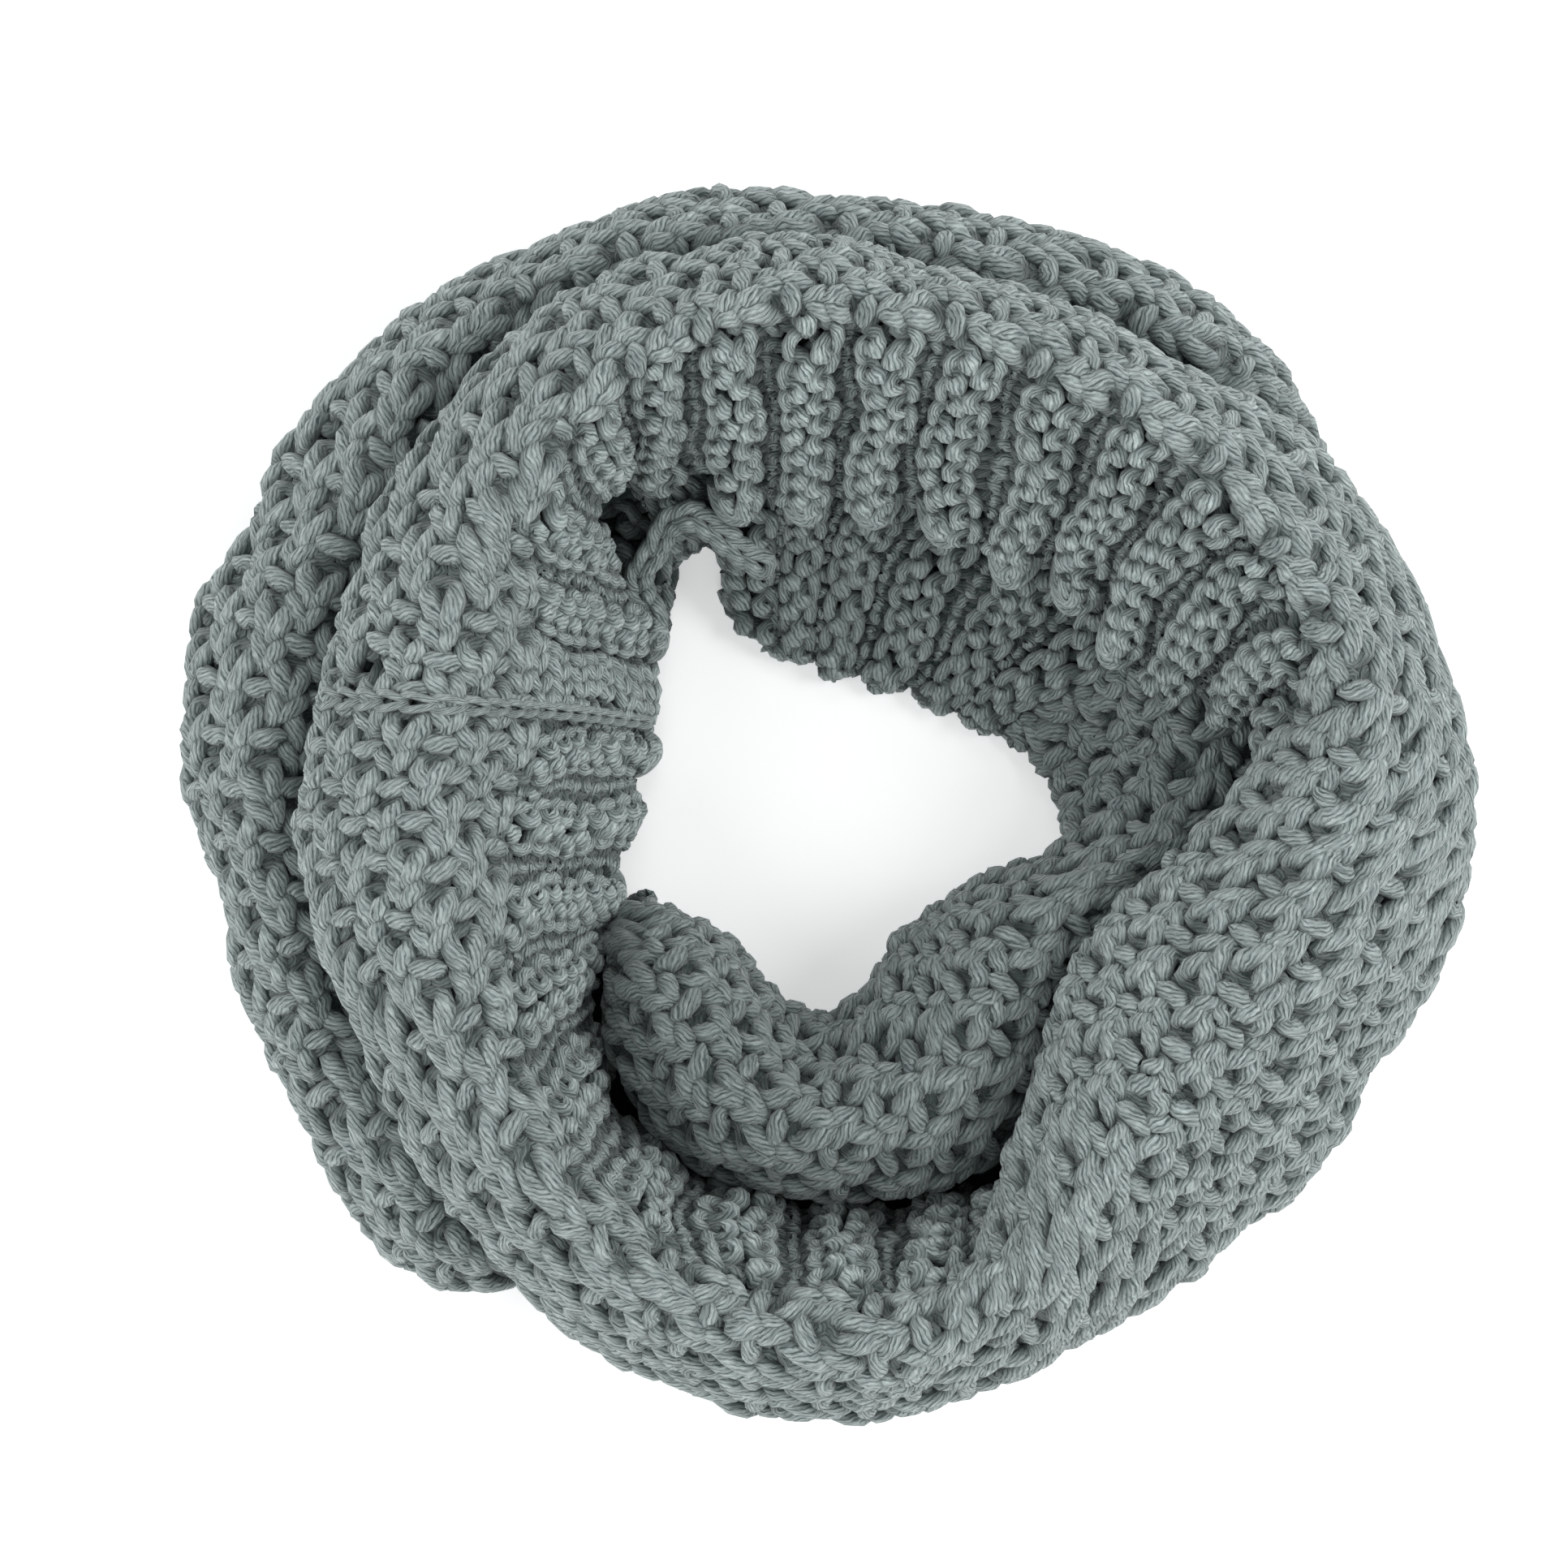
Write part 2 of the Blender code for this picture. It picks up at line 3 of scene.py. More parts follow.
import bpy
import numpy as np
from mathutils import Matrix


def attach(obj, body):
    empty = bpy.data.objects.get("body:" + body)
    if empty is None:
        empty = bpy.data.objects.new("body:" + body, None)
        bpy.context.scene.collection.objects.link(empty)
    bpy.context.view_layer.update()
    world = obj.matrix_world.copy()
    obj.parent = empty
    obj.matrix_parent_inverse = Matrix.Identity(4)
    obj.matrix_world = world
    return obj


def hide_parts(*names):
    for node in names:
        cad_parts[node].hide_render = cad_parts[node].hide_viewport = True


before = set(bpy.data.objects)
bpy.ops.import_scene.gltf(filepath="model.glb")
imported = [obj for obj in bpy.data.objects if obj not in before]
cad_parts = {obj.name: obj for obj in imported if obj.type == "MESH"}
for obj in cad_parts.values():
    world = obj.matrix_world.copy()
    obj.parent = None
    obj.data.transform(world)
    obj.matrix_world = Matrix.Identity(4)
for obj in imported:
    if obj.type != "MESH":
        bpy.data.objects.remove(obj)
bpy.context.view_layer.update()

# A chunky infinity scarf, wound in two turns. Every stitch that shows is a real loop of yarn, laid
# on the cloth's own form. Lengths are in millimetres and angles in degrees, and the pieces are
# made in metres. Places along a turn are counted in welts: one welt is a ridge and a channel.

millimetre = 0.001
tableMiddle = np.array([-1.0, 1.0, 0.0])  # middle of the ring in the tables' own coordinates

cloth = {
    "rowsPerWelt": 4,         # two rows of the ridge, two of the channel
    "openWelts": (15, 23),    # the moss stitch is worked looser on the right
    "openRowsPerWelt": 3,
    "turnWelts": 32,          # once round the upper turn
    "turnRows": 120,          # from the seam's plain rows to where they come round again
    "seamWelt": 0.65,
    "outerDegreesPerWelt": 10.5,
    "borderStitches": 8,
    "borderStitchWidth": 8.25,
    "middleStitchWidth": 9.5,
    # stitches laid across each turn, the upper one's border left out: more than show
    "stitchesLaid": {"upper": 19, "inner": 14, "outer": 9},
    "innerBorderEnd": 6.5,    # here the inner turn's border gives way to moss stitch
    "innerBorderFade": 0.25,  # welts over which its ridges end
    "innerWiden": (5.0, 3.0),  # from this welt, over so many, its stitches widen
    "borderFade": 7.0,        # width over which the other turn's ridges end
    "weltRise": 2.6,          # ridge above the plain cloth
    "weltSink": 3.0,          # channel below it
    "ridgeSpread": 0.8,       # ridges take more of the length than channels
    "innerRelief": 0.3,       # how far the inner turn's ridges stand out, against the upper turn's
    "mossRise": 0.7,          # knit blocks above, purl blocks below
    # welts, and how fully the upper turn's ridges stand out there: they lie flatter on the left
    "ridgeShare": ((0.0, 3.0, 4.5, 5.5, 14.0, 23.0, 26.5, 28.5, 32.0),
                   (0.33, 0.3, 0.6, 1.0, 1.0, 0.8, 0.7, 0.38, 0.33)),
    # 1 at the front, where the border lies far under the roll and its rows spread
    "pocket": ((21.5, 23.0, 27.0, 28.5), (0.0, 1.0, 1.0, 0.0)),
}
cloth["borderWidth"] = cloth["borderStitches"] * cloth["borderStitchWidth"]

# welt, crown angle, hem angle, hem r z, inner r z, crown r z, outer r z, foot z, tucked
upperSections = (
    (0, 173, 163, 49, 8, 76, 58, 106, 88, 138, 60, 47, 0),
    (1, 161, 149, 53, 8, 79, 58, 108, 88, 137, 60, 47, 0),
    (2, 149, 135, 65, 14, 87, 58, 112, 88, 138.5, 60, 47, 3),
    (3, 136, 131, 89, 33, 96, 60, 119, 87, 145, 60, 47, 16),
    (4, 121, 123.5, 103, 38, 106, 62, 124, 87, 150, 60, 47, 16),
    (5, 111, 117.5, 99, 40, 110, 65, 129, 87, 151, 60, 47, 14),
    (6, 101.5, 107, 86, 40, 106, 67, 132, 88, 150, 60, 47, 4),
    (7, 92, 95, 80, 40, 103, 67, 132, 88, 148, 60, 47, 0),
    (9, 73, 68.5, 80, 40, 102, 67, 130, 88, 143.5, 60, 47, 0),
    (10, 61.5, 53.5, 79, 40, 103, 67, 132, 88, 144.5, 60, 47, 0),
    (11, 51.5, 42, 85, 40, 106, 67, 134, 88, 147, 59, 46, 0),
    (12, 42, 30.5, 87, 41, 108, 67, 134, 88, 152.5, 55, 40, 2),
    (13, 32, 21, 94, 42, 113, 67, 136, 87, 159, 46, 16, 8),
    (14, 24, 13, 107, 43, 119, 66, 138, 86, 162.5, 38, 0, 18),
    (15, 14, 6, 118, 41, 116, 60, 138, 84, 166, 35, 0, 40),
    (16, 4, -1, 117, 38, 107, 57, 134, 82, 168.5, 34, 0, 62),
    (17, -6, -8, 105, 36, 93, 56, 130, 82, 168.5, 34, 0, 66),
    (18, -17, -19, 92, 34, 80, 56, 124, 83, 163.5, 35, 0, 66),
    (19, -28, -30, 88, 32, 76, 56, 118, 84, 157.5, 36, 0, 66),
    (20, -38, -40, 88, 32, 77, 56, 114, 84, 158, 36, 0, 66),
    (21, -48, -50, 95, 30, 84, 56, 116, 83, 155, 36, 0, 66),
    (22, -58, -60, 107, 30, 98, 56, 123, 82, 154, 36, 0, 60),
    (23, -68, -67, 113, 29, 112, 54, 132, 80, 155.5, 36, 0, 40),
    (24, -79, -73.5, 108, 28, 118, 54, 138, 79, 159, 36, 0, 22),
    (25, -89, -88, 105, 27, 116, 54, 138, 79, 160.5, 36, 0, 18),
    (26, -102, -102, 103, 27, 114, 54, 136, 80, 157, 36, 0, 18),
    (27, -114.5, -117.5, 99, 28, 110, 55, 131, 82, 155.5, 38, 0, 18),
    (28, -131, -132, 89, 27, 99, 56, 120, 85, 145.5, 56, 44, 14),
    (29, -147, -147, 73, 24, 86, 57, 112, 87, 138, 60, 47, 8),
    (30, -163, -157, 61, 16, 80, 58, 108, 88, 138, 60, 47, 0),
    (31, -176.5, -176.5, 52, 9, 77, 58, 106, 88, 139, 60, 47, 0),
)

# welt, back angle, edge angle, edge r z, mid r z, back r z, tuck r z
innerSections = (
    (-2.0, 141, 143, 72, 4, 82, 5, 92, 6, 104, 6),
    (-1.4, 134.5, 137.5, 69, 4, 78, 6, 88, 8, 98, 8),
    (-0.8, 126, 130.5, 67, 5, 75, 9, 83, 13, 92, 13),
    (-0.4, 122.5, 126.5, 71, 8, 79, 16, 87, 22, 97, 24),
    (0, 119, 121.5, 79.5, 13, 84.5, 21, 91, 28, 102, 30),
    (0.35, 115.5, 118.3, 76, 12, 82, 21, 91, 30, 104, 33),
    (0.5, 113.2, 115.5, 73, 12, 80, 20, 89, 30, 104, 33),
    (0.65, 110.5, 118, 62, 8, 74, 19, 89, 31, 104, 34),
    (1, 105, 111.5, 48, 5, 67, 18, 86, 31, 104, 34),
    (2, 94, 102.5, 41.5, 5, 62, 18, 82, 31, 104, 34),
    (3, 81, 89, 36.5, 5, 59, 18, 81, 31, 104, 34),
    (4, 65.5, 67, 35.5, 5, 58, 18, 81, 31, 104, 34),
    (5, 48, 46, 38.5, 5, 60, 18, 83, 31, 105, 34),
    (6, 34, 29, 45, 5, 66, 19, 90, 32, 109, 34),
    (7, 20, 14, 57, 5, 76, 21, 97, 34, 114, 34),
    (8, 8, 4, 61.5, 7, 79, 24, 99, 35, 114, 33),
    (8.7, -2, -4, 62.5, 11, 76, 30, 93, 39, 107, 31),
    (9.3, -10, -12, 60.5, 17, 70, 40, 83, 44, 97, 29),
    (9.8, -18, -20, 51.5, 22, 61.5, 48, 76.5, 48, 87, 28),
    (10.3, -28, -29, 43, 24, 57, 53, 74, 49, 84, 27),
    (10.9, -40, -40, 39, 24, 57, 57, 75.5, 49, 84, 26),
    (11.6, -53, -52, 38, 24, 65, 58, 88, 44, 92, 22),
    (12.4, -68, -67, 41, 24, 77, 60, 103, 38, 96, 14),
    (13.2, -82, -82, 52, 24, 81, 60, 103, 36, 95, 12),
    (13.9, -94, -94, 58, 24, 83, 60, 103, 36, 94, 12),
    (14.7, -108, -108, 51.5, 24, 78, 59, 101, 37, 92, 12),
    (15.5, -122, -122, 44.5, 24, 70, 56, 93, 38, 84, 12),
    (16.3, -138, -137, 46, 24, 62, 50, 80, 34, 74, 12),
    (16.9, -149, -148, 51, 20, 58, 33, 67, 24, 67, 10),
    (17.3, -155.5, -154, 54, 9, 58, 14, 63, 13, 65, 7),
)

# angle, tuck r z, crown r z, outer r z
outerSections = (
    (-122, 143, 7, 147, 8, 151, 4),
    (-126, 141, 22, 148, 25, 157.5, 13),
    (-132, 139, 36, 151, 39, 164, 20),
    (-141, 134, 42, 149, 45, 165, 24),
    (-151, 133, 43, 148, 47, 161, 25),
    (-161, 133, 43, 149, 47, 163, 25),
    (-171, 133, 43, 149, 47, 164, 25),
    (-181, 135, 43, 152, 48, 168, 26),
    (-191, 133, 43, 153, 48, 173, 26),
    (-199, 132, 43, 153, 48, 175, 26),
    (-204, 132, 43, 150, 46, 169.5, 25),
    (-212, 134, 43, 153, 47, 172, 25),
    (-220, 139, 43, 156, 47, 173, 25),
    (-230, 144, 43, 158, 47, 171, 25),
    (-245, 146, 43, 157, 47, 168.5, 25),
    (-260, 145, 43, 155, 47, 165, 25),
    (-272, 142, 43, 151, 47, 161, 25),
    (-285, 139, 43, 150, 47, 161.5, 25),
    (-300, 140, 43, 153, 47, 167, 25),
    (-310, 144, 42, 156, 46, 168, 25),
    (-317, 150, 33, 158, 36, 167.5, 20),
    (-323, 154, 17, 158, 20, 163, 11),
    (-327, 156, 6, 158, 7, 161, 4),
)


def weltOfRow(ring, rows):
    # the upper turn has fewer rows where its border is folded under
    perWelt = cloth["rowsPerWelt"]
    if ring != "upper":
        return rows / perWelt
    first, last = cloth["openWelts"]
    openEnd = first * perWelt + (last - first) * cloth["openRowsPerWelt"]
    before, after = -10, 15  # welts, well past both ends of the turn
    return np.interp(rows, (before * perWelt, first * perWelt, openEnd, openEnd + after * perWelt),
                     (before, first, last, last + after))


def smoothCurve(knots, values, at):
    # through values at uneven knots, as a curve without corners
    step = np.diff(knots)
    slope = np.diff(values, axis=0) / step[:, None]
    tangent = np.empty_like(values)
    tangent[0] = slope[0]
    tangent[-1] = slope[-1]
    before = step[:-1, None]
    after = step[1:, None]
    tangent[1:-1] = (slope[:-1] * after + slope[1:] * before) / (before + after)
    span = np.clip(np.searchsorted(knots, at, side="right") - 1, 0, len(step) - 1)
    width = step[span][:, None]
    t = ((at - knots[span]) / step[span])[:, None]
    return ((2 * t**3 - 3 * t**2 + 1) * values[span] + (t**3 - 2 * t**2 + t) * width * tangent[span]
            + (3 * t**2 - 2 * t**3) * values[span + 1] + (t**3 - t**2) * width * tangent[span + 1])


def closedTable(rows, turn, angleColumns):
    # repeats three rows past each end, a whole turn on
    table = np.array(rows, float)
    shift = np.zeros(table.shape[1])
    shift[0] = turn
    shift[1:1 + angleColumns] = -360.0
    return np.vstack([table[-3:] - shift, table, table[:3] + shift])


upperTable = closedTable(upperSections, cloth["turnWelts"], 2)
innerTable = np.array(innerSections, float)
outerTable = np.array(outerSections, float)
outerWelts = (outerTable[0, 0] - outerTable[:, 0]) / cloth["outerDegreesPerWelt"]
upperColumns = ("welt", "crown", "hem", "hemR", "hemZ", "innerR", "innerZ", "crownR", "crownZ",
                "outerR", "outerZ", "footZ", "tucked")

guides = {
    # welts, and how far the outside's rows run ahead there, so that they cross the wales
    # squarely where the border turns under
    "rowsAhead": ((10.5, 13.0, 14.5, 16.2, 21.5), (0.0, 0.7, 1.5, 1.5, 0.0)),
    "crownAhead": 0.75,   # share of that at the crown
    "innerLean": 0.4,     # of the way from the crown's angle to the hem's
    "outerLean": 0.25,    # the same, but away from the hem
    "footLean": 0.30,
    "footInset": 3.0,     # the outer side draws in below its widest line
    "footSlope": 0.10,
    "edgeSlope": 0.26,    # the inner turn's edge spreads where it rests
    "outerSlope": 0.28,   # the outer turn draws in where it rests
}


# each of these gives the lines that the cloth follows, from its hem out: angle, radius, height
def upperGuides(welts):
    ahead = np.interp(welts, *guides["rowsAhead"])
    near, middle, far = [
        dict(zip(upperColumns, smoothCurve(upperTable[:, 0], upperTable, welts + share * ahead).T))
        for share in (0.0, guides["crownAhead"], 1.0)]
    lean = near["hem"] - near["crown"]
    farLean = far["hem"] - far["crown"]
    footZ = np.maximum(far["footZ"], 0.0)
    footR = far["outerR"] - guides["footInset"] - guides["footSlope"] * (far["outerZ"] - footZ)
    return ((near["hem"], near["hemR"], near["hemZ"]),
            (near["crown"] + guides["innerLean"] * lean, near["innerR"], near["innerZ"]),
            (middle["crown"], middle["crownR"], middle["crownZ"]),
            (far["crown"] - guides["outerLean"] * farLean, far["outerR"], far["outerZ"]),
            (far["crown"] - guides["footLean"] * farLean, footR, footZ))


def innerGuides(welts):
    (back, edge, edgeR, edgeZ, midR, midZ, backR, backZ, tuckR,
     tuckZ) = smoothCurve(innerTable[:, 0], innerTable[:, 1:], welts).T
    return ((edge, edgeR + guides["edgeSlope"] * edgeZ, 0.0 * edgeZ), (edge, edgeR, edgeZ),
            (0.5 * (edge + back), midR, midZ), (back, backR, backZ), (back, tuckR, tuckZ))


def outerGuides(welts):
    (angle, tuckR, tuckZ, crownR, crownZ, outerR,
     outerZ) = smoothCurve(outerWelts, outerTable, welts).T
    return ((angle, tuckR, tuckZ), (angle, crownR, crownZ), (angle, outerR, outerZ),
            (angle, outerR - guides["outerSlope"] * outerZ, 0.0 * outerZ))


def tuckedAt(welts):
    # width of the upper turn's border that is folded under
    shape = np.shape(welts)
    flat = np.asarray(welts, float).reshape(-1)
    return smoothCurve(upperTable[:, 0], upperTable[:, -1:], flat)[:, 0].reshape(shape)


def nothingTucked(welts):
    return np.zeros(np.shape(welts))


formGrid = {
    "perWelt": 24,        # lines across the cloth
    "step": 1.5,          # between points of a line
    "reach": 15.0,        # how far the lines run past the cloth's edges
    "curvePoints": 96,
}


class ClothForm:
    # the cloth's face on a fine grid of welts and distances, read by interpolation
    def __init__(self, guideLines, firstWelt, lastWelt, tucked):
        self.tucked = tucked
        self.first = firstWelt
        self.perWelt = formGrid["perWelt"]
        self.step = formGrid["step"]
        self.reach = formGrid["reach"]
        count = int(round((lastWelt - firstWelt) * self.perWelt)) + 1
        welts = firstWelt + np.arange(count) / self.perWelt
        self.last = firstWelt + (count - 1) / self.perWelt
        points = np.stack([np.stack(point, axis=1) for point in guideLines(welts)], axis=1)
        angle = np.radians(points[..., 0])
        lines = np.stack([points[..., 1] * np.cos(angle), points[..., 1] * np.sin(angle),
                          points[..., 2]], axis=-1)
        curves = []
        for line in lines:
            # knots by the root of each chord keep the curve from swinging out between them
            chord = np.r_[0.0, np.cumsum(np.linalg.norm(np.diff(line, axis=0), axis=1) ** 0.5)]
            curve = smoothCurve(chord, line, np.linspace(0.0, chord[-1], formGrid["curvePoints"]))
            curve[:, 2] = np.maximum(curve[:, 2], 0.0)
            along = np.r_[0.0, np.cumsum(np.linalg.norm(np.diff(curve, axis=0), axis=1))]
            curves.append((curve, along))
        self.lengths = np.array([along[-1] for curve, along in curves])
        distances = np.arange(-self.reach, self.lengths.max() + self.reach, self.step)
        self.grid = np.empty((count, len(distances), 3))
        for i, (curve, along) in enumerate(curves):
            inside = np.clip(distances, 0.0, along[-1])
            for axis in range(3):
                self.grid[i, :, axis] = np.interp(inside, along, curve[:, axis])
            start = (curve[3] - curve[0]) / np.linalg.norm(curve[3] - curve[0])
            end = (curve[-1] - curve[-4]) / np.linalg.norm(curve[-1] - curve[-4])
            self.grid[i] += np.minimum(distances, 0.0)[:, None] * start
            self.grid[i] += np.maximum(distances - along[-1], 0.0)[:, None] * end
        normal = np.cross(np.gradient(self.grid, axis=0), np.gradient(self.grid, axis=1))
        self.normals = normal / np.linalg.norm(normal, axis=-1, keepdims=True)

    def lengthAt(self, welts):
        place = np.clip((np.asarray(welts) - self.first) * self.perWelt, 0, len(self.lengths) - 1)
        return np.interp(place, np.arange(len(self.lengths)), self.lengths)

    def read(self, welts, across):
        # points and outward normals at distances from the hem, folded part included
        distance = across - self.tucked(welts)
        lastCell = np.array(self.grid.shape[:2]) - 1.001  # a hair before the last line
        u = np.clip((welts - self.first) * self.perWelt, 0.0, lastCell[0])
        v = np.clip((distance + self.reach) / self.step, 0.0, lastCell[1])
        i = u.astype(int)
        j = v.astype(int)
        u = (u - i)[..., None]
        v = (v - j)[..., None]
        out = []
        for field in (self.grid, self.normals):
            out.append(field[i, j] * (1 - u) * (1 - v) + field[i + 1, j] * u * (1 - v)
                       + field[i, j + 1] * (1 - u) * v + field[i + 1, j + 1] * u * v)
        out[1] = out[1] / np.linalg.norm(out[1], axis=-1, keepdims=True)
        return out


forms = {
    "upper": ClothForm(upperGuides, 0.0, cloth["turnWelts"] + 1.5, tuckedAt),
    "inner": ClothForm(innerGuides, innerTable[0, 0], innerTable[-1, 0], nothingTucked),
    "outer": ClothForm(outerGuides, 0.0, outerWelts[-1], nothingTucked),
}
print("cloth forms ready")

knitting = {
    "seed": 7,
    "samples": 16,            # points of one loop
    "yarnRadius": 2.35,
    "floorGap": 0.3,          # least clearance under a strand
    "settle": -3.4,           # middle of the cloth below its face
    "depth": 2.1,             # strands in front and behind that middle
    "rowShift": 0.5,          # brings a ridge's middle strands onto its crest, in rows
    "squareness": 8,          # how flat a loop's head and feet are
    "curlPoint": 0.6,         # how pointed those are that curl
    # how far a loop's neck draws in, as a share of a stitch's width
    "narrowing": 0.2,
    "knitNarrowing": 0.25,
    "openNarrowing": 0.25,    # a knit loop under a purl one, whose legs spread
    "ridgeNarrowing": 0.2,
    "curlNarrowing": 0.33,
    "barNarrowing": 0.16,     # bars are short and dive steeply
    "mossBarNarrowing": 0.32,
    # from the row's middle up to a loop's head or down to its feet, in rows
    "headReach": 0.75,
    "footReach": 0.75,
    "knitReach": 0.85,
    "openReach": 0.92,
    "barReach": 0.74,
    # how far strands stand in front, from -1 to 1 and a little more for bars
    "lowHead": 0.0,           # a knit loop's head under a purl loop, drawn down between its legs
    "sunkLegs": -0.6,         # the legs of a purl loop on the moss stitch
    "ridgeLegs": -0.5,        # the legs on a ridge
    "channelLegs": 0.5,       # the legs down in a channel
    "curlLegs": -1.0,         # the legs under a ridge's bars
    "barLift": 1.15,          # strands that stand out as bars
    "curlLift": 0.62,         # strands that curl round a ridge's edges
    "innerFlat": 0.6,         # how fully the inner turn's strands stand out
    # where a strand passes over from leg to head or foot, as a share of its way
    "frontBend": (0.1, 0.7),  # one that ends in front
    "backBend": (0.45, 0.95),  # one that ends behind
    "barBend": (0.52, 0.9),
    "mossBarBend": (0.3, 0.85),
    "curlBend": (0.4, 0.95),
    # a swell is how much thicker than the yarn a strand is, a fullness how thick against it
    "openSwell": 0.34,        # legs fill the width that their loop is given
    "knitSwell": 0.18,
    "purlSwell": 0.1,
    "borderSwell": -0.1,
    "frontSwell": 0.09,       # strands are fuller where they lie in front
    "pocketSwell": 0.18,      # and at the front of the border
    "barNeck": 0.88,          # thickness of a bar's ends
    "barFullness": 1.28,
    "mossBarFullness": 1.22,
    "curlFullness": 0.84,
    # uneven hand of the knitter
    "wander": 0.45,
    "lean": 0.45,
    "reachWander": 0.06,
    "waves": 1.1,             # slow drift of the stitches over the cloth
    "waveRise": 0.8,
    "waveLengths": (24.0, 60.0),
    "weltLength": 22.0,       # a welt's and a row's usual length
    "rowLength": 7.0,
}


def smoothStep(value):
    value = np.clip(value, 0.0, 1.0)
    return value * value * (3.0 - 2.0 * value)


def weltWave(welts):
    # 1 along a ridge's crest, 0 in the channel
    return 0.5 + 0.5 * np.cos(2.0 * np.pi * welts)


def plainRows(welts):
    # beside the seam, where there is no ridge
    return np.abs((welts + 0.5) % cloth["turnWelts"] - 1.5) < 0.5


def ridgeShareAt(welts):
    return np.interp(welts % cloth["turnWelts"], *cloth["ridgeShare"])


def borderIsKnit(rows, seamed):
    # two rows of knit and two of purl by turns
    knit = np.isin(rows % cloth["rowsPerWelt"], (1, 2))
    if seamed:
        # the rows beside the seam
        knit = knit | np.isin(rows % cloth["turnRows"], (2, 3, 4, 5))
    return knit


def mossIsKnit(rows, stitches):
    return ((rows + 1) // 2 + stitches) % 2 == 0


def mossHeight(rows, wale):
    # blocks of two rows and one stitch, raised and sunk by turns
    return np.cos(np.pi * (rows - knitting["rowShift"]) / 2.0) * np.cos(np.pi * (wale - 0.5))


def onMoss(ring, rows, stitches):
    if ring == "upper":
        return stitches >= cloth["borderStitches"]
    if ring == "inner":
        return (rows + 0.5) / cloth["rowsPerWelt"] >= cloth["innerBorderEnd"]
    return stitches >= 0


def isKnit(ring, rows, stitches):
    first = cloth["borderStitches"] if ring == "upper" else 0
    return np.where(onMoss(ring, rows, stitches), mossIsKnit(rows, stitches - first),
                    borderIsKnit(rows, ring == "upper"))


def stitchEdges(ring, welts):
    # distance from the hem to each stitch's first side, and to the last one's far side
    narrow = cloth["borderStitchWidth"]
    wide = cloth["middleStitchWidth"]
    edges = np.arange(cloth["stitchesLaid"][ring] + 1)
    if ring == "inner":
        first, length = cloth["innerWiden"]
        width = narrow + np.clip((welts - first) / length, 0.0, 1.0) * (wide - narrow)
        return width[:, None] * edges
    edges = edges * wide
    if ring == "upper":
        edges = np.r_[np.arange(cloth["borderStitches"]) * narrow, cloth["borderWidth"] + edges]
    return np.repeat(edges[None, :], len(welts), axis=0)


def slowWaves(rng, u, v):
    # three smooth random fields over lengths in mm
    fields = []
    for field in range(3):
        total = 0.0
        for wave in range(5):
            heading = rng.uniform(0.0, 2.0 * np.pi)
            length = rng.uniform(*knitting["waveLengths"])
            phase = rng.uniform(0.0, 2.0 * np.pi)
            total = total + np.sin(2.0 * np.pi * (u * np.cos(heading) + v * np.sin(heading))
                                   / length + phase)
        fields.append(total / 1.6)  # about the size of five waves together
    return fields


def stitchKinds(ring, rows, stitches, rowWelt):
    # what every stitch is: sides are 1 for knit and -1 for purl, the rest is true or false
    def sideOf(r, k):
        return np.where(isKnit(ring, r, k), 1.0, -1.0)

    side = sideOf(rows, stitches)
    above = -sideOf(rows + 1, stitches)
    moss = onMoss(ring, rows, stitches)
    opened = (above > 0) & (side > 0) & moss
    above = np.where(opened, knitting["lowHead"], above)
    plain = plainRows(rowWelt)[:, None] & ~moss if ring == "upper" else np.zeros_like(moss)
    ridged = ~moss & ~plain
    # on a ridge two rows of bars lie between two rows of curls
    place = rows % cloth["rowsPerWelt"]
    return {
        "side": side,
        "above": above,
        "before": 0.5 * (side + sideOf(rows, np.maximum(stitches - 1, 0))),
        "after": 0.5 * (side + sideOf(rows, stitches + 1)),
        "moss": moss,
        "opened": opened,
        "ridged": ridged,
        "channel": ridged & (place == 1),
        "barHead": ridged & (place == 2),
        "curled": ridged & (place == 3),
        "barFoot": ridged & (place == 0),
        "mossBar": moss & (side < 0) & (above > 0),
    }


def chosen(usual, *choices):
    # the knitting's setting for every stitch: a later choice wins over an earlier one
    value = usual
    for where, name in choices:
        value = np.where(where, knitting[name], value)
    return value


def loopShares(kind, t):
    # how much of each point belongs to the loop's head, its two feet and its legs
    cosine = np.cos(t)
    isHead = cosine < 0
    isBar = np.where(isHead, (kind["barHead"] | kind["mossBar"])[..., None],
                     kind["barFoot"][..., None])
    bends = {}
    for name in ("frontBend", "backBend", "barBend", "mossBarBend", "curlBend"):
        low, high = knitting[name]
        bends[name] = smoothStep((np.abs(cosine) - low) / (high - low))
    inFront = np.where(isHead, kind["above"][..., None] > 0, kind["side"][..., None] < 0)
    turned = np.where(inFront, bends["frontBend"], bends["backBend"])
    turned = np.where(kind["curled"][..., None], bends["curlBend"], turned)
    barBend = np.where(kind["moss"][..., None], bends["mossBarBend"], bends["barBend"])
    turned = np.where(isBar, barBend, turned)
    head = np.where(isHead, turned, 0.0)
    leftFoot = np.where(~isHead & (t < np.pi), turned, 0.0)
    rightFoot = np.where(~isHead & (t > np.pi), turned, 0.0)
    return isBar, turned, head, leftFoot, rightFoot


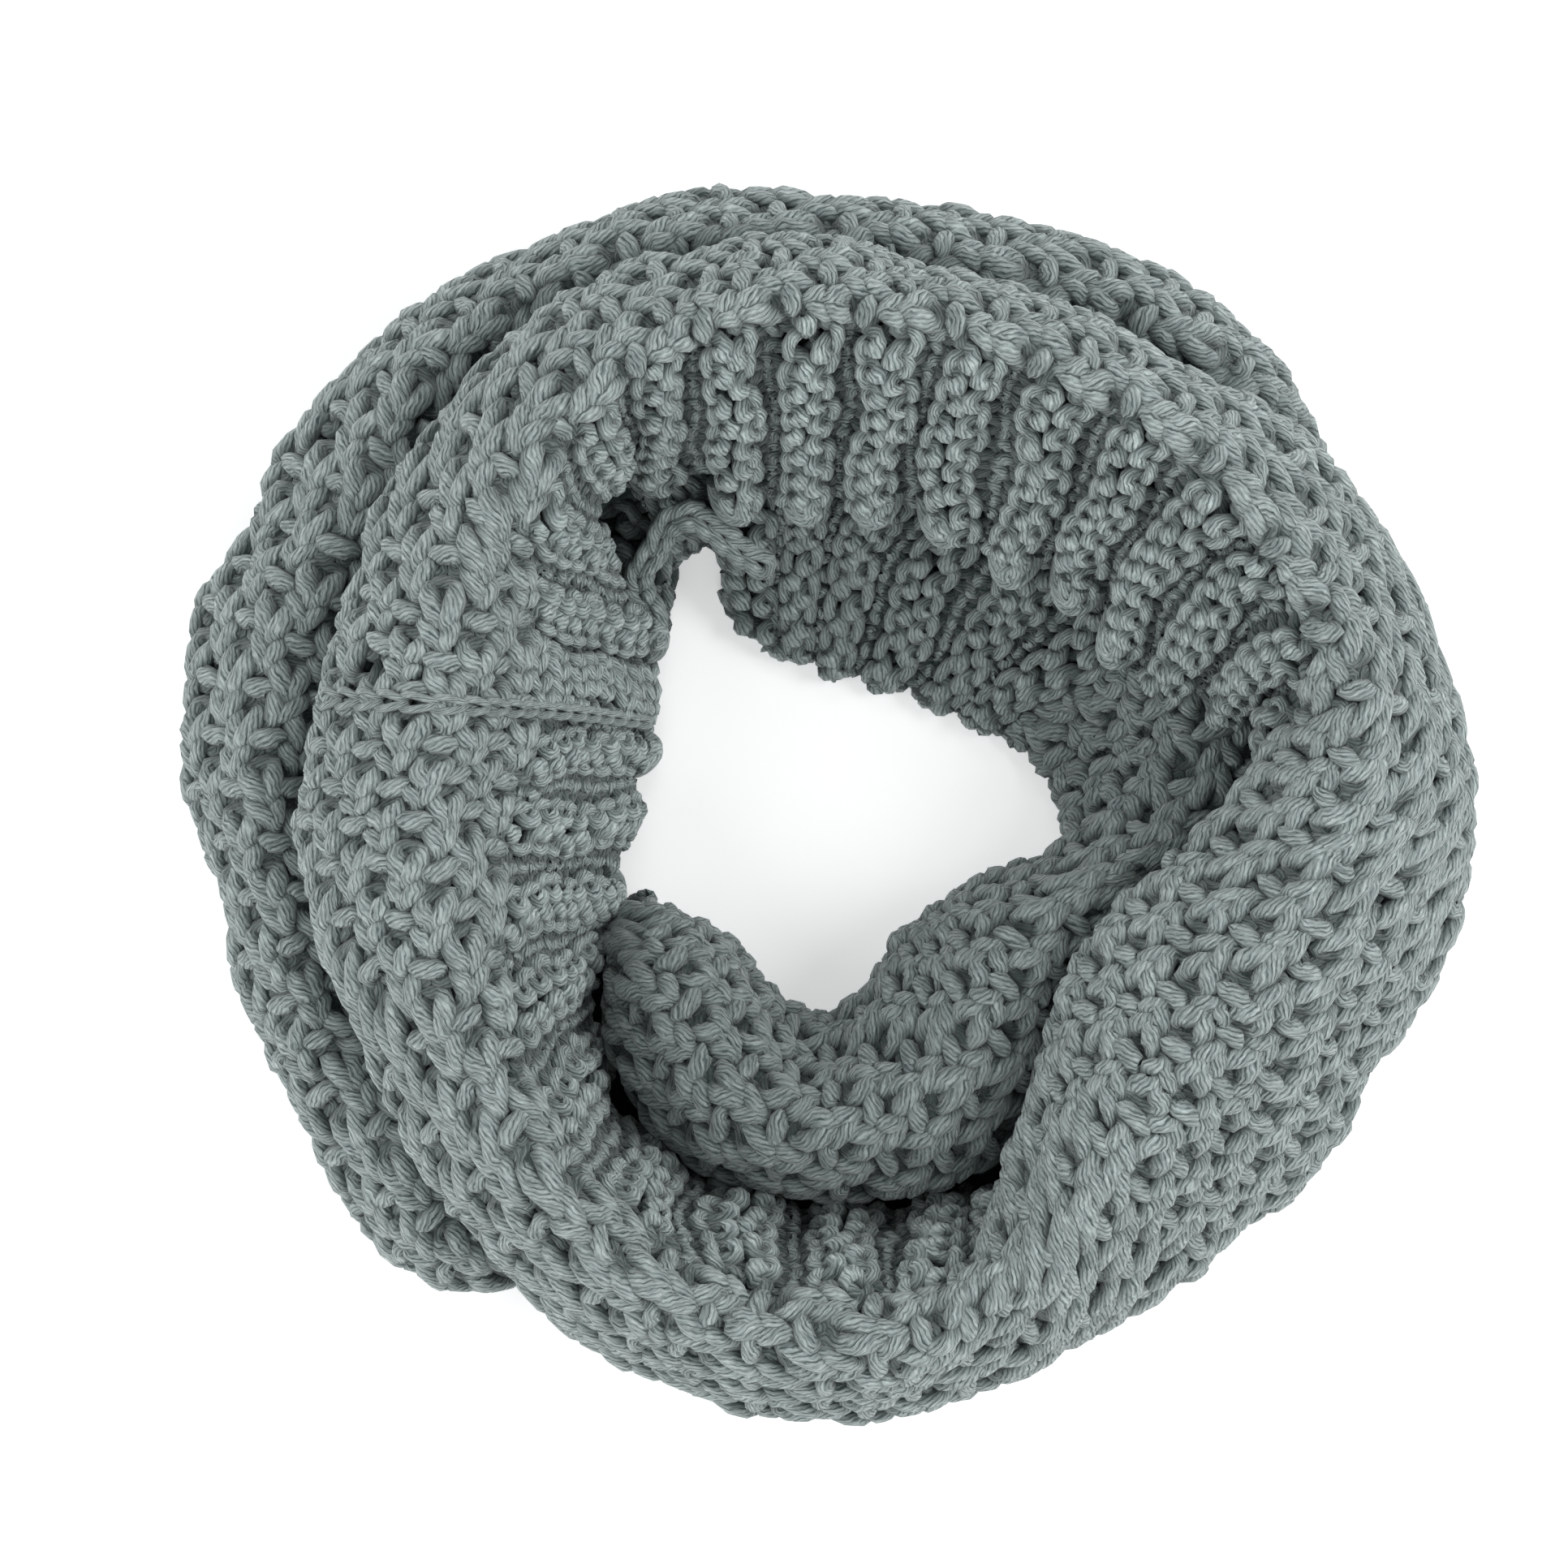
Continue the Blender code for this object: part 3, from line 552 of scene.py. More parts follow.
def loopLift(kind, head, leftFoot, rightFoot, legs):
    legLift = chosen(kind["side"], (kind["side"] < 0, "sunkLegs"), (kind["ridged"], "ridgeLegs"),
                     (kind["channel"], "channelLegs"), (kind["curled"], "curlLegs"))
    inFront = kind["above"] > 0
    headLift = chosen(kind["above"], (kind["mossBar"] | (kind["barHead"] & inFront), "barLift"),
                      (kind["curled"] & inFront, "curlLift"))
    footLift = chosen(1.0, (kind["barFoot"], "barLift"), (kind["curled"], "curlLift"))[..., None]
    return (legLift[..., None] * legs + headLift[..., None] * head
            - footLift * (kind["before"][..., None] * leftFoot
                          + kind["after"][..., None] * rightFoot))


def knitRing(ring, firstRow, lastRow, seed):
    # all loops of one ring: arrays over rows, stitches and points of a loop
    rng = np.random.default_rng(seed)
    form = forms[ring]
    rows = np.arange(firstRow, lastRow + 1)
    rowWelt = weltOfRow(ring, rows + 0.5)
    edges = stitchEdges(ring, rowWelt)
    left = edges[:, :-1]
    width = np.diff(edges, axis=1)
    rowGrid, stitchGrid = np.meshgrid(rows, np.arange(left.shape[1]), indexing="ij")
    kind = stitchKinds(ring, rowGrid, stitchGrid, rowWelt)
    side, moss, ridged, opened = kind["side"], kind["moss"], kind["ridged"], kind["opened"]
    isCurl = kind["curled"][..., None]

    t = np.linspace(0.0, 2.0 * np.pi, knitting["samples"] + 1)
    cosine = np.cos(t)
    ease = np.sin(t / 2.0) ** 2
    isBar, turned, head, leftFoot, rightFoot = loopShares(kind, t)
    legs = 1.0 - head - leftFoot - rightFoot
    shown = loopLift(kind, head, leftFoot, rightFoot, legs)
    if ring == "upper":
        flat = ridgeShareAt(rowWelt)
        pocket = np.interp(rowWelt % cloth["turnWelts"], *cloth["pocket"])[:, None] * ridged
    else:
        flat = np.full(len(rows), knitting["innerFlat"])
        pocket = np.zeros(ridged.shape)
    lift = shown * knitting["depth"]
    lift = lift * np.where(ridged, 0.5 + 0.5 * flat[:, None], 1.0)[..., None]
    wander = rng.normal(0.0, knitting["wander"], (3,) + rowGrid.shape + (1,)) * ease

    narrowing = chosen(knitting["narrowing"], (side > 0, "knitNarrowing"),
                       (ridged, "ridgeNarrowing"), (opened, "openNarrowing"),
                       (kind["curled"], "curlNarrowing"))
    barNarrowing = chosen(knitting["barNarrowing"], (moss, "mossBarNarrowing"))
    narrowing = np.where(isBar, barNarrowing[..., None], narrowing[..., None])
    across = t / (2.0 * np.pi) + narrowing * np.sin(2.0 * t)
    waleShare = stitchGrid[..., None] + across
    lean = knitting["lean"] * rng.normal(size=rowGrid.shape)[..., None] * (1.0 - cosine)
    across = left[..., None] + width[..., None] * across + wander[0] + lean

    square = knitting["squareness"]
    flatTop = cosine / (cosine ** square + np.sin(t) ** square) ** (1.0 / square)
    level = np.where(isCurl, cosine * np.abs(cosine) ** knitting["curlPoint"], flatTop)
    headReach = chosen(knitting["headReach"], (~ridged & (side > 0), "knitReach"),
                       (opened, "openReach"), (kind["barHead"], "barReach"))
    footReach = chosen(knitting["footReach"], (kind["barFoot"], "barReach"))
    reach = np.where(cosine > 0, footReach[..., None], headReach[..., None])
    uneven = rng.normal(size=rowGrid.shape)[..., None]
    reach = reach * (1.0 + knitting["reachWander"] * uneven * ease)
    middleRow = rowGrid[..., None] + 0.5 + knitting["rowShift"]
    rowPlace = middleRow - reach * level + wander[1] / knitting["rowLength"]
    rowWelts = weltOfRow(ring, rowPlace)
    spread = cloth["ridgeSpread"] * np.sin(2.0 * np.pi * rowWelts) / (2.0 * np.pi)
    welts = rowWelts + spread * borderShareAt(ring, rowWelts, across)
    drift = slowWaves(rng, rowWelts * knitting["weltLength"], across)
    welts = np.clip(welts + drift[0] * knitting["waves"] / knitting["weltLength"],
                    form.first, form.last)
    across = across + drift[1] * knitting["waves"]

    swell = chosen(knitting["purlSwell"], (side > 0, "knitSwell"), (opened, "openSwell"),
                   (~moss, "borderSwell"))
    fullness = (1.0 + swell[..., None] * legs
                + knitting["frontSwell"] * np.maximum(shown - legs, 0.0))
    fullness = np.where(isCurl, knitting["curlFullness"], fullness)
    fullest = chosen(knitting["barFullness"], (moss, "mossBarFullness"))[..., None]
    neck = knitting["barNeck"]
    fullness = np.where(isBar, neck + (fullest - neck) * turned, fullness)
    fullness = fullness * (1.0 + knitting["pocketSwell"] * pocket[..., None])
    return {
        "ring": ring,
        "form": form,
        "middle": left + 0.5 * width,
        "rowWelt": rowWelt,
        "ridged": ridged,
        "pocket": pocket,
        "across": across,
        "welts": welts,
        "rowWelts": rowWelts,
        "rowPlace": rowPlace,
        "waleShare": waleShare,
        "shown": shown,
        "lift": lift + wander[2] + knitting["waveRise"] * drift[2],
        "fullness": fullness,
    }


def onBorder(across):
    return np.clip((cloth["borderWidth"] - across) / cloth["borderFade"] + 0.5, 0.0, 1.0)


def borderShareAt(ring, welts, across):
    # 1 on the welted border, 0 on the moss stitch
    if ring == "upper":
        return np.where(plainRows(welts), 0.0, onBorder(across))
    if ring == "inner":
        return np.clip((cloth["innerBorderEnd"] - welts) / cloth["innerBorderFade"], 0.0, 1.0)
    return np.zeros(welts.shape)


def reliefAt(ring, welts, rowPlace, across, waleShare):
    # welts on the border, blocks on the moss stitch
    ridge = weltWave(welts) * (cloth["weltRise"] + cloth["weltSink"]) - cloth["weltSink"]
    block = cloth["mossRise"] * mossHeight(rowPlace, waleShare)
    share = borderShareAt(ring, welts, across)
    if ring == "upper":
        return share * (ridge * ridgeShareAt(welts)) + block * (1.0 - onBorder(across))
    return share * (ridge * cloth["innerRelief"]) + (1.0 - share) * block


paintedShadeAmounts = {
    # painted shade: how much the yarn's colour is darkened where it lies deep, under a fold, and on
    # the inner turn
    "inFront": 0.6,       # lift from which a strand gets no painted shade
    "ridgeLeast": 0.4,
    "mossLeast": 0.1,
    "channel": 0.04,      # painted shade for each millimetre down in a channel
    "pocket": 0.45,       # painted shade under a fold
    "outerUnder": 1.3,    # painted shade on the outer turn, beside the upper one, and the width of that shade
    "outerFade": 12.0,
    "inner": 0.27,        # painted shade over all of the inner turn
}


def placeLoops(loops):
    # real points of every loop, with the way that its face looks and the painted shade it gets
    # where it lies deep
    relief = reliefAt(loops["ring"], loops["rowWelts"], loops["rowPlace"], loops["across"],
                      loops["waleShare"])
    point, normal = loops["form"].read(loops["welts"], loops["across"])
    height = relief + loops["lift"] + knitting["settle"]
    point = point + normal * height[..., None]
    lowest = knitting["yarnRadius"] * loops["fullness"] + knitting["floorGap"]
    point[..., 2] = np.maximum(point[..., 2], lowest)
    # painted shade: 1 where the strand lies in front and gets none, less where it passes behind,
    # lies in a channel, under a fold or on the inner turn
    paintedShade = 0.5 + 0.5 * np.clip(loops["shown"] / paintedShadeAmounts["inFront"], -1.0, 1.0)
    least = np.where(loops["ridged"], paintedShadeAmounts["ridgeLeast"], paintedShadeAmounts["mossLeast"])
    paintedShade = np.maximum(paintedShade, least[..., None])
    # painted shade under the fold of the turn above, and on the outer turn beside the upper one
    shadeUnderFold = loops["pocket"][..., None] * (1.0 - loops["across"] / cloth["borderWidth"])
    if loops["ring"] == "outer":
        shadeUnderFold = paintedShadeAmounts["outerUnder"] - loops["across"] / paintedShadeAmounts["outerFade"]
    paintedShade = paintedShade + paintedShadeAmounts["channel"] * np.minimum(relief, 0.0)
    paintedShade = paintedShade - paintedShadeAmounts["pocket"] * np.clip(shadeUnderFold, 0.0, 1.0)
    if loops["ring"] == "inner":
        paintedShade = paintedShade - paintedShadeAmounts["inner"]
    return point, normal, np.clip(paintedShade, 0.0, 1.0)


# the last welt of each stretch that is a piece of its own
stretchEnds = {"upperBack": 14.5, "upperRight": 23.5, "upperFront": 27.5, "outerLeft": 9.5}

rowEnds = {
    "hemSlack": 3.5,      # how far rows start before the hem
    "slack": 2.0,         # how far they run on past the cloth's outer edge
    "raisedSlack": 8.0,   # the same where the cloth's foot is raised
    "raisedFoot": 6.0,
    "risenSlack": 13.0,   # where the lower turn's edge rises, its cloth is seen further down
    "risenUntil": 1.3,    # welts
}


def upperSlack(welts):
    footZ = smoothCurve(upperTable[:, 0], upperTable[:, -2:-1], welts)[:, 0]
    return np.where(footZ > rowEnds["raisedFoot"], rowEnds["raisedSlack"], rowEnds["slack"])


def innerSlack(welts):
    return np.where(welts < rowEnds["risenUntil"], rowEnds["risenSlack"], rowEnds["slack"])


def outerSlack(welts):
    return np.full(np.shape(welts), rowEnds["slack"])


def upperNode(welt, stitch):
    if stretchEnds["upperBack"] <= welt < stretchEnds["upperRight"]:
        return "upper_turn_right"
    zone = "upper_border_" if stitch < cloth["borderStitches"] else "upper_turn_"
    if welt < stretchEnds["upperBack"]:
        return zone + "back"
    return zone + ("front" if welt < stretchEnds["upperFront"] else "left")


def innerNode(welt, stitch):
    return "inner_turn_back" if welt < cloth["innerBorderEnd"] else "inner_turn_front"


def outerNode(welt, stitch):
    return "outer_turn_left" if welt < stretchEnds["outerLeft"] else "outer_turn_back"


# first and last row, the piece that each stitch is part of, and how far its row runs on
rings = {
    "upper": (3, 122, upperNode, upperSlack),
    "inner": (-8, 68, innerNode, innerSlack),
    "outer": (0, 77, outerNode, outerSlack),
}


def strandOf(field, row, first, last):
    # loops end to end: the last point of each is the first of the next
    whole = field[row, first:last + 1, :-1].reshape(-1, *field.shape[3:])
    return np.concatenate([whole, field[row, last, -1:]])


def rowStrands(loops, nodeOf, slackAt):
    # cuts the rows into strands, one list for each CAD node
    point, normal, paintedShade = placeLoops(loops)
    form = loops["form"]
    rowWelt = loops["rowWelt"]
    distance = loops["middle"] - form.tucked(rowWelt)[:, None]
    end = form.lengthAt(rowWelt)[:, None] + slackAt(rowWelt)[:, None]
    kept = (distance > -rowEnds["hemSlack"]) & (distance < end)
    found = {}
    for row, welt in enumerate(rowWelt):
        runs = {}
        for stitch in np.flatnonzero(kept[row]):
            runs.setdefault(nodeOf(welt, stitch), []).append(stitch)
        for node, run in runs.items():
            parts = [strandOf(field, row, run[0], run[-1])
                     for field in (point, normal, paintedShade, loops["fullness"])]
            found.setdefault(node, []).append((parts[0], parts[1], np.stack(parts[2:], axis=1)))
    return found


hem = {
    # at the hem two nested loops of yarn turn round the end of each ridge: half width in welts,
    # where it starts, how far it reaches past the hem, and its lift
    "loops": ((0.34, 7.0, 11.0, 1.5), (0.15, 6.0, 6.6, 2.2)),
    "lastWelts": {"upper": 32, "inner": 6},
    "points": 12,
    "skew": 0.04,         # one leg lies a little ahead, in welts
    "roundness": 0.8,
    "ridgeHalf": 0.31,    # a ridge's half width in welts
    "drop": 3.0,          # down a ridge's side
    "dropShade": 0.15,    # for each millimetre of that
    "innerShare": 0.7,    # how fully these loops stand out on the inner turn
    "mostTucked": 5.0,    # no hem shows where more of the border is folded under
}


def hemShows(ring, welt):
    if ring == "inner":
        return True
    # no ridge ends beside the seam
    return welt % cloth["turnWelts"] != 1 and float(tuckedAt(welt)) < hem["mostTucked"]


def hemLoops(ring):
    form = forms[ring]
    s = np.linspace(0.0, np.pi, hem["points"])
    scale = 1.0 if ring == "upper" else cloth["innerRelief"]
    lines = []
    for welt in range(1, hem["lastWelts"][ring] + 1):
        if not hemShows(ring, welt):
            continue
        share = float(ridgeShareAt(welt)) if ring == "upper" else hem["innerShare"]
        for half, start, reach, lift in hem["loops"]:
            welts = welt - half * np.cos(s) + hem["skew"] * np.cos(s / 2.0)
            turn = np.sin(s) ** hem["roundness"]
            across = start - (start + (reach - start) * share) * turn
            point, normal = form.read(welts, across)
            drop = (half * np.cos(s) / hem["ridgeHalf"]) ** 2 * hem["drop"]
            height = scale * share * (cloth["weltRise"] - drop) + lift + knitting["settle"]
            point = point + normal * height[:, None]
            point[:, 2] = np.maximum(point[:, 2], knitting["yarnRadius"] + knitting["floorGap"])
            # painted shade, darker down a ridge's sides
            paintedShade = np.clip(1.0 - hem["dropShade"] * drop, 0.0, 1.0)
            lines.append((welt, (point, normal, np.stack([paintedShade, np.ones(len(s))], axis=1))))
    return lines


strands = {}
for number, (ring, (firstRow, lastRow, nodeOf, slackAt)) in enumerate(rings.items()):
    loops = knitRing(ring, firstRow, lastRow, knitting["seed"] + number)
    for node, lines in rowStrands(loops, nodeOf, slackAt).items():
        strands.setdefault(node, []).extend(lines)
for ring in hem["lastWelts"]:
    nodeOf = rings[ring][2]
    for welt, line in hemLoops(ring):
        strands[nodeOf(welt, 0)].append(line)
points = sum(len(point) for lines in strands.values() for point, normal, marks in lines)
print("stitches laid out:", points // knitting["samples"])

chain = {
    # an open loop, drawn through the one before
    "points": 15,
    "waist": 0.35,        # how far it draws in between its ends
    "arch": 0.7,          # its sides stand out and its ends lie back, as a share of the depth
}

seam = {
    "links": 18,
    "linkReach": 0.68,    # half a link's length, in links
    "width": 3.7,
    "depth": 1.2,
    "yarnRadius": 1.1,
    "from": 5.0,          # where it starts and ends, from the hem
    "to": 137.0,
    "lift": -0.2,
    "mossLift": 2.1,      # more of it, where it crosses the moss stitch
    "mossFade": 8.0,
    "weltLength": 26.0,
    "shade": (0.85, 0.15),  # painted shade level, 1 for unshaded, and how much lighter for each millimetre of rise
}

selvedge = {
    # the lower turn's edge stands up at the back left of the hole as a chain, x y z
    "path": ((-46.0, 50.0, 14.0), (-50.2, 56.1, 16.0),
             (-50.8, 62.2, 18.0), (-45.8, 69.6, 24.0), (-42.8, 75.7, 29.0), (-36.0, 77.4, 32.0),
             (-29.9, 73.3, 29.5), (-23.8, 68.3, 26.0), (-17.7, 64.6, 23.0)),
    "links": 11,
    "linkReach": 0.85,
    "width": 4.6,
    "depth": 1.5,
    "fullness": 0.86,     # of its yarn, against the knitting's
    "shade": (0.8, 0.1),
}


def chainLinks(settings, place):
    t = np.linspace(0.0, 2.0 * np.pi, chain["points"])
    first, more = settings["shade"]
    fullness = np.full(len(t), settings.get("fullness", 1.0))
    lines = []
    for link in range(settings["links"]):
        along = (link + 0.5 - settings["linkReach"] * np.cos(t)) / settings["links"]
        sideways = settings["width"] * 0.5 * (np.sin(t) - chain["waist"] * np.sin(2.0 * t))
        rise = settings["depth"] * chain["arch"] * (np.sin(t) ** 2 - np.cos(t) ** 2)
        point, normal = place(along, sideways, rise)
        # painted shade, darker where the link's ends lie back
        paintedShade = np.clip(first + rise * more, 0.0, 1.0)
        lines.append((point, normal, np.stack([paintedShade, fullness], axis=1)))
    return lines


def alongSeam(along, sideways, rise):
    across = seam["from"] + (seam["to"] - seam["from"]) * along
    welts = cloth["seamWelt"] + sideways / seam["weltLength"]
    point, normal = forms["upper"].read(welts, across)
    overMoss = np.clip((across - cloth["borderWidth"]) / seam["mossFade"], 0.0, 1.0)
    lift = seam["lift"] + seam["mossLift"] * overMoss + rise
    return point + normal * lift[:, None], normal


def alongSelvedge(along, sideways, rise):
    path = np.array(selvedge["path"])
    knots = np.linspace(0.0, 1.0, len(path))
    point = smoothCurve(knots, path, along)
    ahead = smoothCurve(knots, path, along + 0.01) - smoothCurve(knots, path, along - 0.01)
    ahead = ahead / np.linalg.norm(ahead, axis=1, keepdims=True)
    side = np.cross(np.array([0.0, 0.0, 1.0]), ahead)
    normal = np.cross(ahead, side)
    return point + side * sideways[:, None] + normal * rise[:, None], normal


strands["joining_seam"] = chainLinks(seam, alongSeam)
strands["inner_turn_back"].extend(chainLinks(selvedge, alongSelvedge))


def nodeTools(tree):
    # short ways to add a node, to feed a socket with a value or another socket, and to do sums
    def add(kind, **settings):
        node = tree.nodes.new(kind)
        for key, value in settings.items():
            setattr(node, key, value)
        return node

    def feed(value, socket):
        if isinstance(value, bpy.types.NodeSocket):
            tree.links.new(value, socket)
        else:
            socket.default_value = value

    def maths(operation, *values):
        node = add("ShaderNodeMath", operation=operation)
        for value, socket in zip(values, node.inputs):
            feed(value, socket)
        return node.outputs[0]

    return add, feed, maths


yarn = {
    "unevenness": 0.08,
    "noiseScale": 90.0,   # for each metre
    "noiseGain": 4.0,
    "sides": 8,
}


def yarnTree():
    tree = bpy.data.node_groups.new("yarnAlongPath", "GeometryNodeTree")
    tree.interface.new_socket("Geometry", in_out="OUTPUT", socket_type="NodeSocketGeometry")
    tree.interface.new_socket("Geometry", in_out="INPUT", socket_type="NodeSocketGeometry")
    names = {}
    for label, kind in (("Yarn Radius", "NodeSocketFloat"), ("Unevenness", "NodeSocketFloat"),
                        ("Sides", "NodeSocketInt"), ("Seed", "NodeSocketInt"),
                        ("Wool", "NodeSocketMaterial")):
        names[label] = tree.interface.new_socket(label, in_out="INPUT", socket_type=kind).identifier
    add, feed, maths = nodeTools(tree)

    def attribute(name, kind):
        node = add("GeometryNodeInputNamedAttribute", data_type=kind)
        feed(name, node.inputs["Name"])
        return node.outputs["Attribute"]

    def kept(geometry, label, value):
        # keeps a curve's own number for use after the sweep
        node = add("GeometryNodeCaptureAttribute")
        node.capture_items.new("FLOAT", label)
        feed(geometry, node.inputs["Geometry"])
        feed(value, node.inputs[label])
        return node.outputs["Geometry"], node.outputs[label]

    def stored(geometry, label, value, kind, domain):
        node = add("GeometryNodeStoreNamedAttribute", data_type=kind, domain=domain)
        feed(label, node.inputs["Name"])
        feed(geometry, node.inputs["Geometry"])
        feed(value, node.inputs["Value"])
        return node.outputs["Geometry"]

    start = add("NodeGroupInput")
    toCurve = add("GeometryNodeMeshToCurve")
    feed(start.outputs["Geometry"], toCurve.inputs["Mesh"])
    facing = attribute("facing", "FLOAT_VECTOR")
    setNormal = add("GeometryNodeSetCurveNormal", mode="FREE")
    feed(toCurve.outputs["Curve"], setNormal.inputs["Curve"])
    feed(facing, setNormal.inputs["Normal"])
    noise = add("ShaderNodeTexNoise", noise_dimensions="4D")
    feed(yarn["noiseScale"], noise.inputs["Scale"])
    feed(start.outputs["Seed"], noise.inputs["W"])
    swell = maths("MULTIPLY", maths("SUBTRACT", noise.outputs[0], 0.5), start.outputs["Unevenness"])
    swell = maths("MULTIPLY", swell, yarn["noiseGain"])
    radius = maths("MULTIPLY", maths("ADD", swell, 1.0), start.outputs["Yarn Radius"])
    radius = maths("MULTIPLY", radius, attribute("fullness", "FLOAT"))
    path, along = kept(setNormal.outputs["Curve"], "along",
                       add("GeometryNodeSplineParameter").outputs["Length"])
    circle = add("GeometryNodeCurvePrimitiveCircle")
    feed(start.outputs["Sides"], circle.inputs["Resolution"])
    feed(1.0, circle.inputs["Radius"])
    profile, around = kept(circle.outputs["Curve"], "around",
                           add("GeometryNodeSplineParameter").outputs["Factor"])
    sweep = add("GeometryNodeCurveToMesh")
    feed(True, sweep.inputs["Fill Caps"])
    feed(path, sweep.inputs["Curve"])
    feed(profile, sweep.inputs["Profile Curve"])
    feed(radius, sweep.inputs["Scale"])
    # how far each spot of the yarn looks out of the cloth, for the painted shade on its sides
    outward = add("ShaderNodeVectorMath", operation="DOT_PRODUCT")
    feed(add("GeometryNodeInputNormal").outputs["Normal"], outward.inputs[0])
    feed(facing, outward.inputs[1])
    mesh = stored(sweep.outputs["Mesh"], "outward",
                  maths("MULTIPLY", outward.outputs["Value"], -1.0), "FLOAT", "POINT")
    # close the map where the last side meets the first
    faceMean = add("GeometryNodeFieldOnDomain", data_type="FLOAT", domain="FACE")
    feed(around, faceMean.inputs["Value"])
    wraps = maths("GREATER_THAN", maths("SUBTRACT", faceMean.outputs["Value"], around), 0.25)
    pair = add("ShaderNodeCombineXYZ")
    feed(maths("ADD", around, wraps), pair.inputs["X"])
    feed(along, pair.inputs["Y"])
    mesh = stored(mesh, "yarnMap", pair.outputs[0], "FLOAT2", "CORNER")
    smooth = add("GeometryNodeSetShadeSmooth")
    feed(mesh, smooth.inputs["Geometry"])
    realize = add("GeometryNodeRealizeInstances")
    feed(smooth.outputs["Geometry"], realize.inputs["Geometry"])
    paint = add("GeometryNodeSetMaterial")
    feed(realize.outputs["Geometry"], paint.inputs["Geometry"])
    feed(start.outputs["Wool"], paint.inputs["Material"])
    feed(paint.outputs["Geometry"], add("NodeGroupOutput").inputs["Geometry"])
    return tree, names


def newPiece(name, mesh):
    piece = bpy.data.objects.new(name, mesh)
    bpy.context.scene.collection.objects.link(piece)
    return piece


def evaluatedPiece(name, source):
    # the modifier's result as a plain mesh
    graph = bpy.context.evaluated_depsgraph_get()
    graph.update()
    mesh = bpy.data.meshes.new_from_object(source.evaluated_get(graph))
    mesh.name = name
    old = source.data
    source.modifiers.clear()
    source.data = mesh
    bpy.data.meshes.remove(old)
    return source


def sweepYarn(name, lines, radius, wool, tree, names, seed):
    points = np.vstack([point for point, normal, marks in lines])
    facing = -np.vstack([normal for point, normal, marks in lines])
    marks = np.vstack([marks for point, normal, marks in lines])
    placed = (points - tableMiddle) * millimetre
    ends = np.cumsum([len(point) for point, normal, marks in lines])
    starts = np.arange(len(placed) - 1)
    starts = np.setdiff1d(starts, ends - 1)  # no edge joins one line to the next
    edges = np.stack([starts, starts + 1], axis=1)
    mesh = bpy.data.meshes.new(name)
    mesh.vertices.add(len(placed))
    mesh.vertices.foreach_set("co", placed.astype(np.float32).reshape(-1))
    mesh.edges.add(len(edges))
    mesh.edges.foreach_set("vertices", edges.astype(np.int32).reshape(-1))
    for label, kind, field, values in (("facing", "FLOAT_VECTOR", "vector", facing),
                                       ("paintedShadeMark", "FLOAT", "value", marks[:, 0]),
                                       ("fullness", "FLOAT", "value", marks[:, 1])):
        data = mesh.attributes.new(label, kind, "POINT").data
        data.foreach_set(field, np.ascontiguousarray(values, np.float32).reshape(-1))
    mesh.update()
    piece = newPiece(name, mesh)
    modifier = piece.modifiers.new("yarn", "NODES")
    modifier.node_group = tree
    modifier[names["Yarn Radius"]] = radius * millimetre
    modifier[names["Unevenness"]] = yarn["unevenness"]
    modifier[names["Sides"]] = yarn["sides"]
    modifier[names["Seed"]] = seed
    modifier[names["Wool"]] = wool
    return evaluatedPiece(name, piece)


woolLook = {
    "light": (0.540, 0.626, 0.613),
    "dark": (0.066, 0.095, 0.093),
    # the colour of painted shade
    "paintedShade": (0.020, 0.034, 0.034),
    "roughness": 0.92,
    "specular": 0.15,
    "sheen": (0.35, 0.45),   # weight, roughness
    "strands": 12,           # fine strands in the yarn's outside
    "twist": 30.0,           # length in which a strand goes once round, mm
    "waver": (260.0, 1.7),   # of the strands: scale of the noise, and its share of a strand
    "plyHeight": 0.26,
    # streaks along the strands: scale across them and along them, and how strong
    "hair": ((3.2, 0.4, 0.8), (0.9, 0.16, 0.6)),
    "shadeRange": (0.62, 1.14),      # heights that are dark and light
    "paintedSunkShade": (0.2, 1.0, 0.92, 0.0),   # painted shade mark from and to, and how much of the painted shade colour
    "paintedRimShade": (-0.1, 0.75, 0.72, 0.0),  # the same, painted shade on spots that look sideways out of the cloth
    "patches": (45.0, 0.3, 0.85),    # scale, strength, least brightness
    "bump": (1.0, 0.0009),           # strength, metres
}

shadedInsideLook = {
    # the inside of the knitting, seen only between loops, painted dark as painted shade
    "light": (0.095, 0.130, 0.126),
    "dark": (0.022, 0.034, 0.034),
    "roughness": 0.95,
    "specular": 0.1,
    "fibreScale": 420.0,
    "bump": (0.6, 0.0015),
}


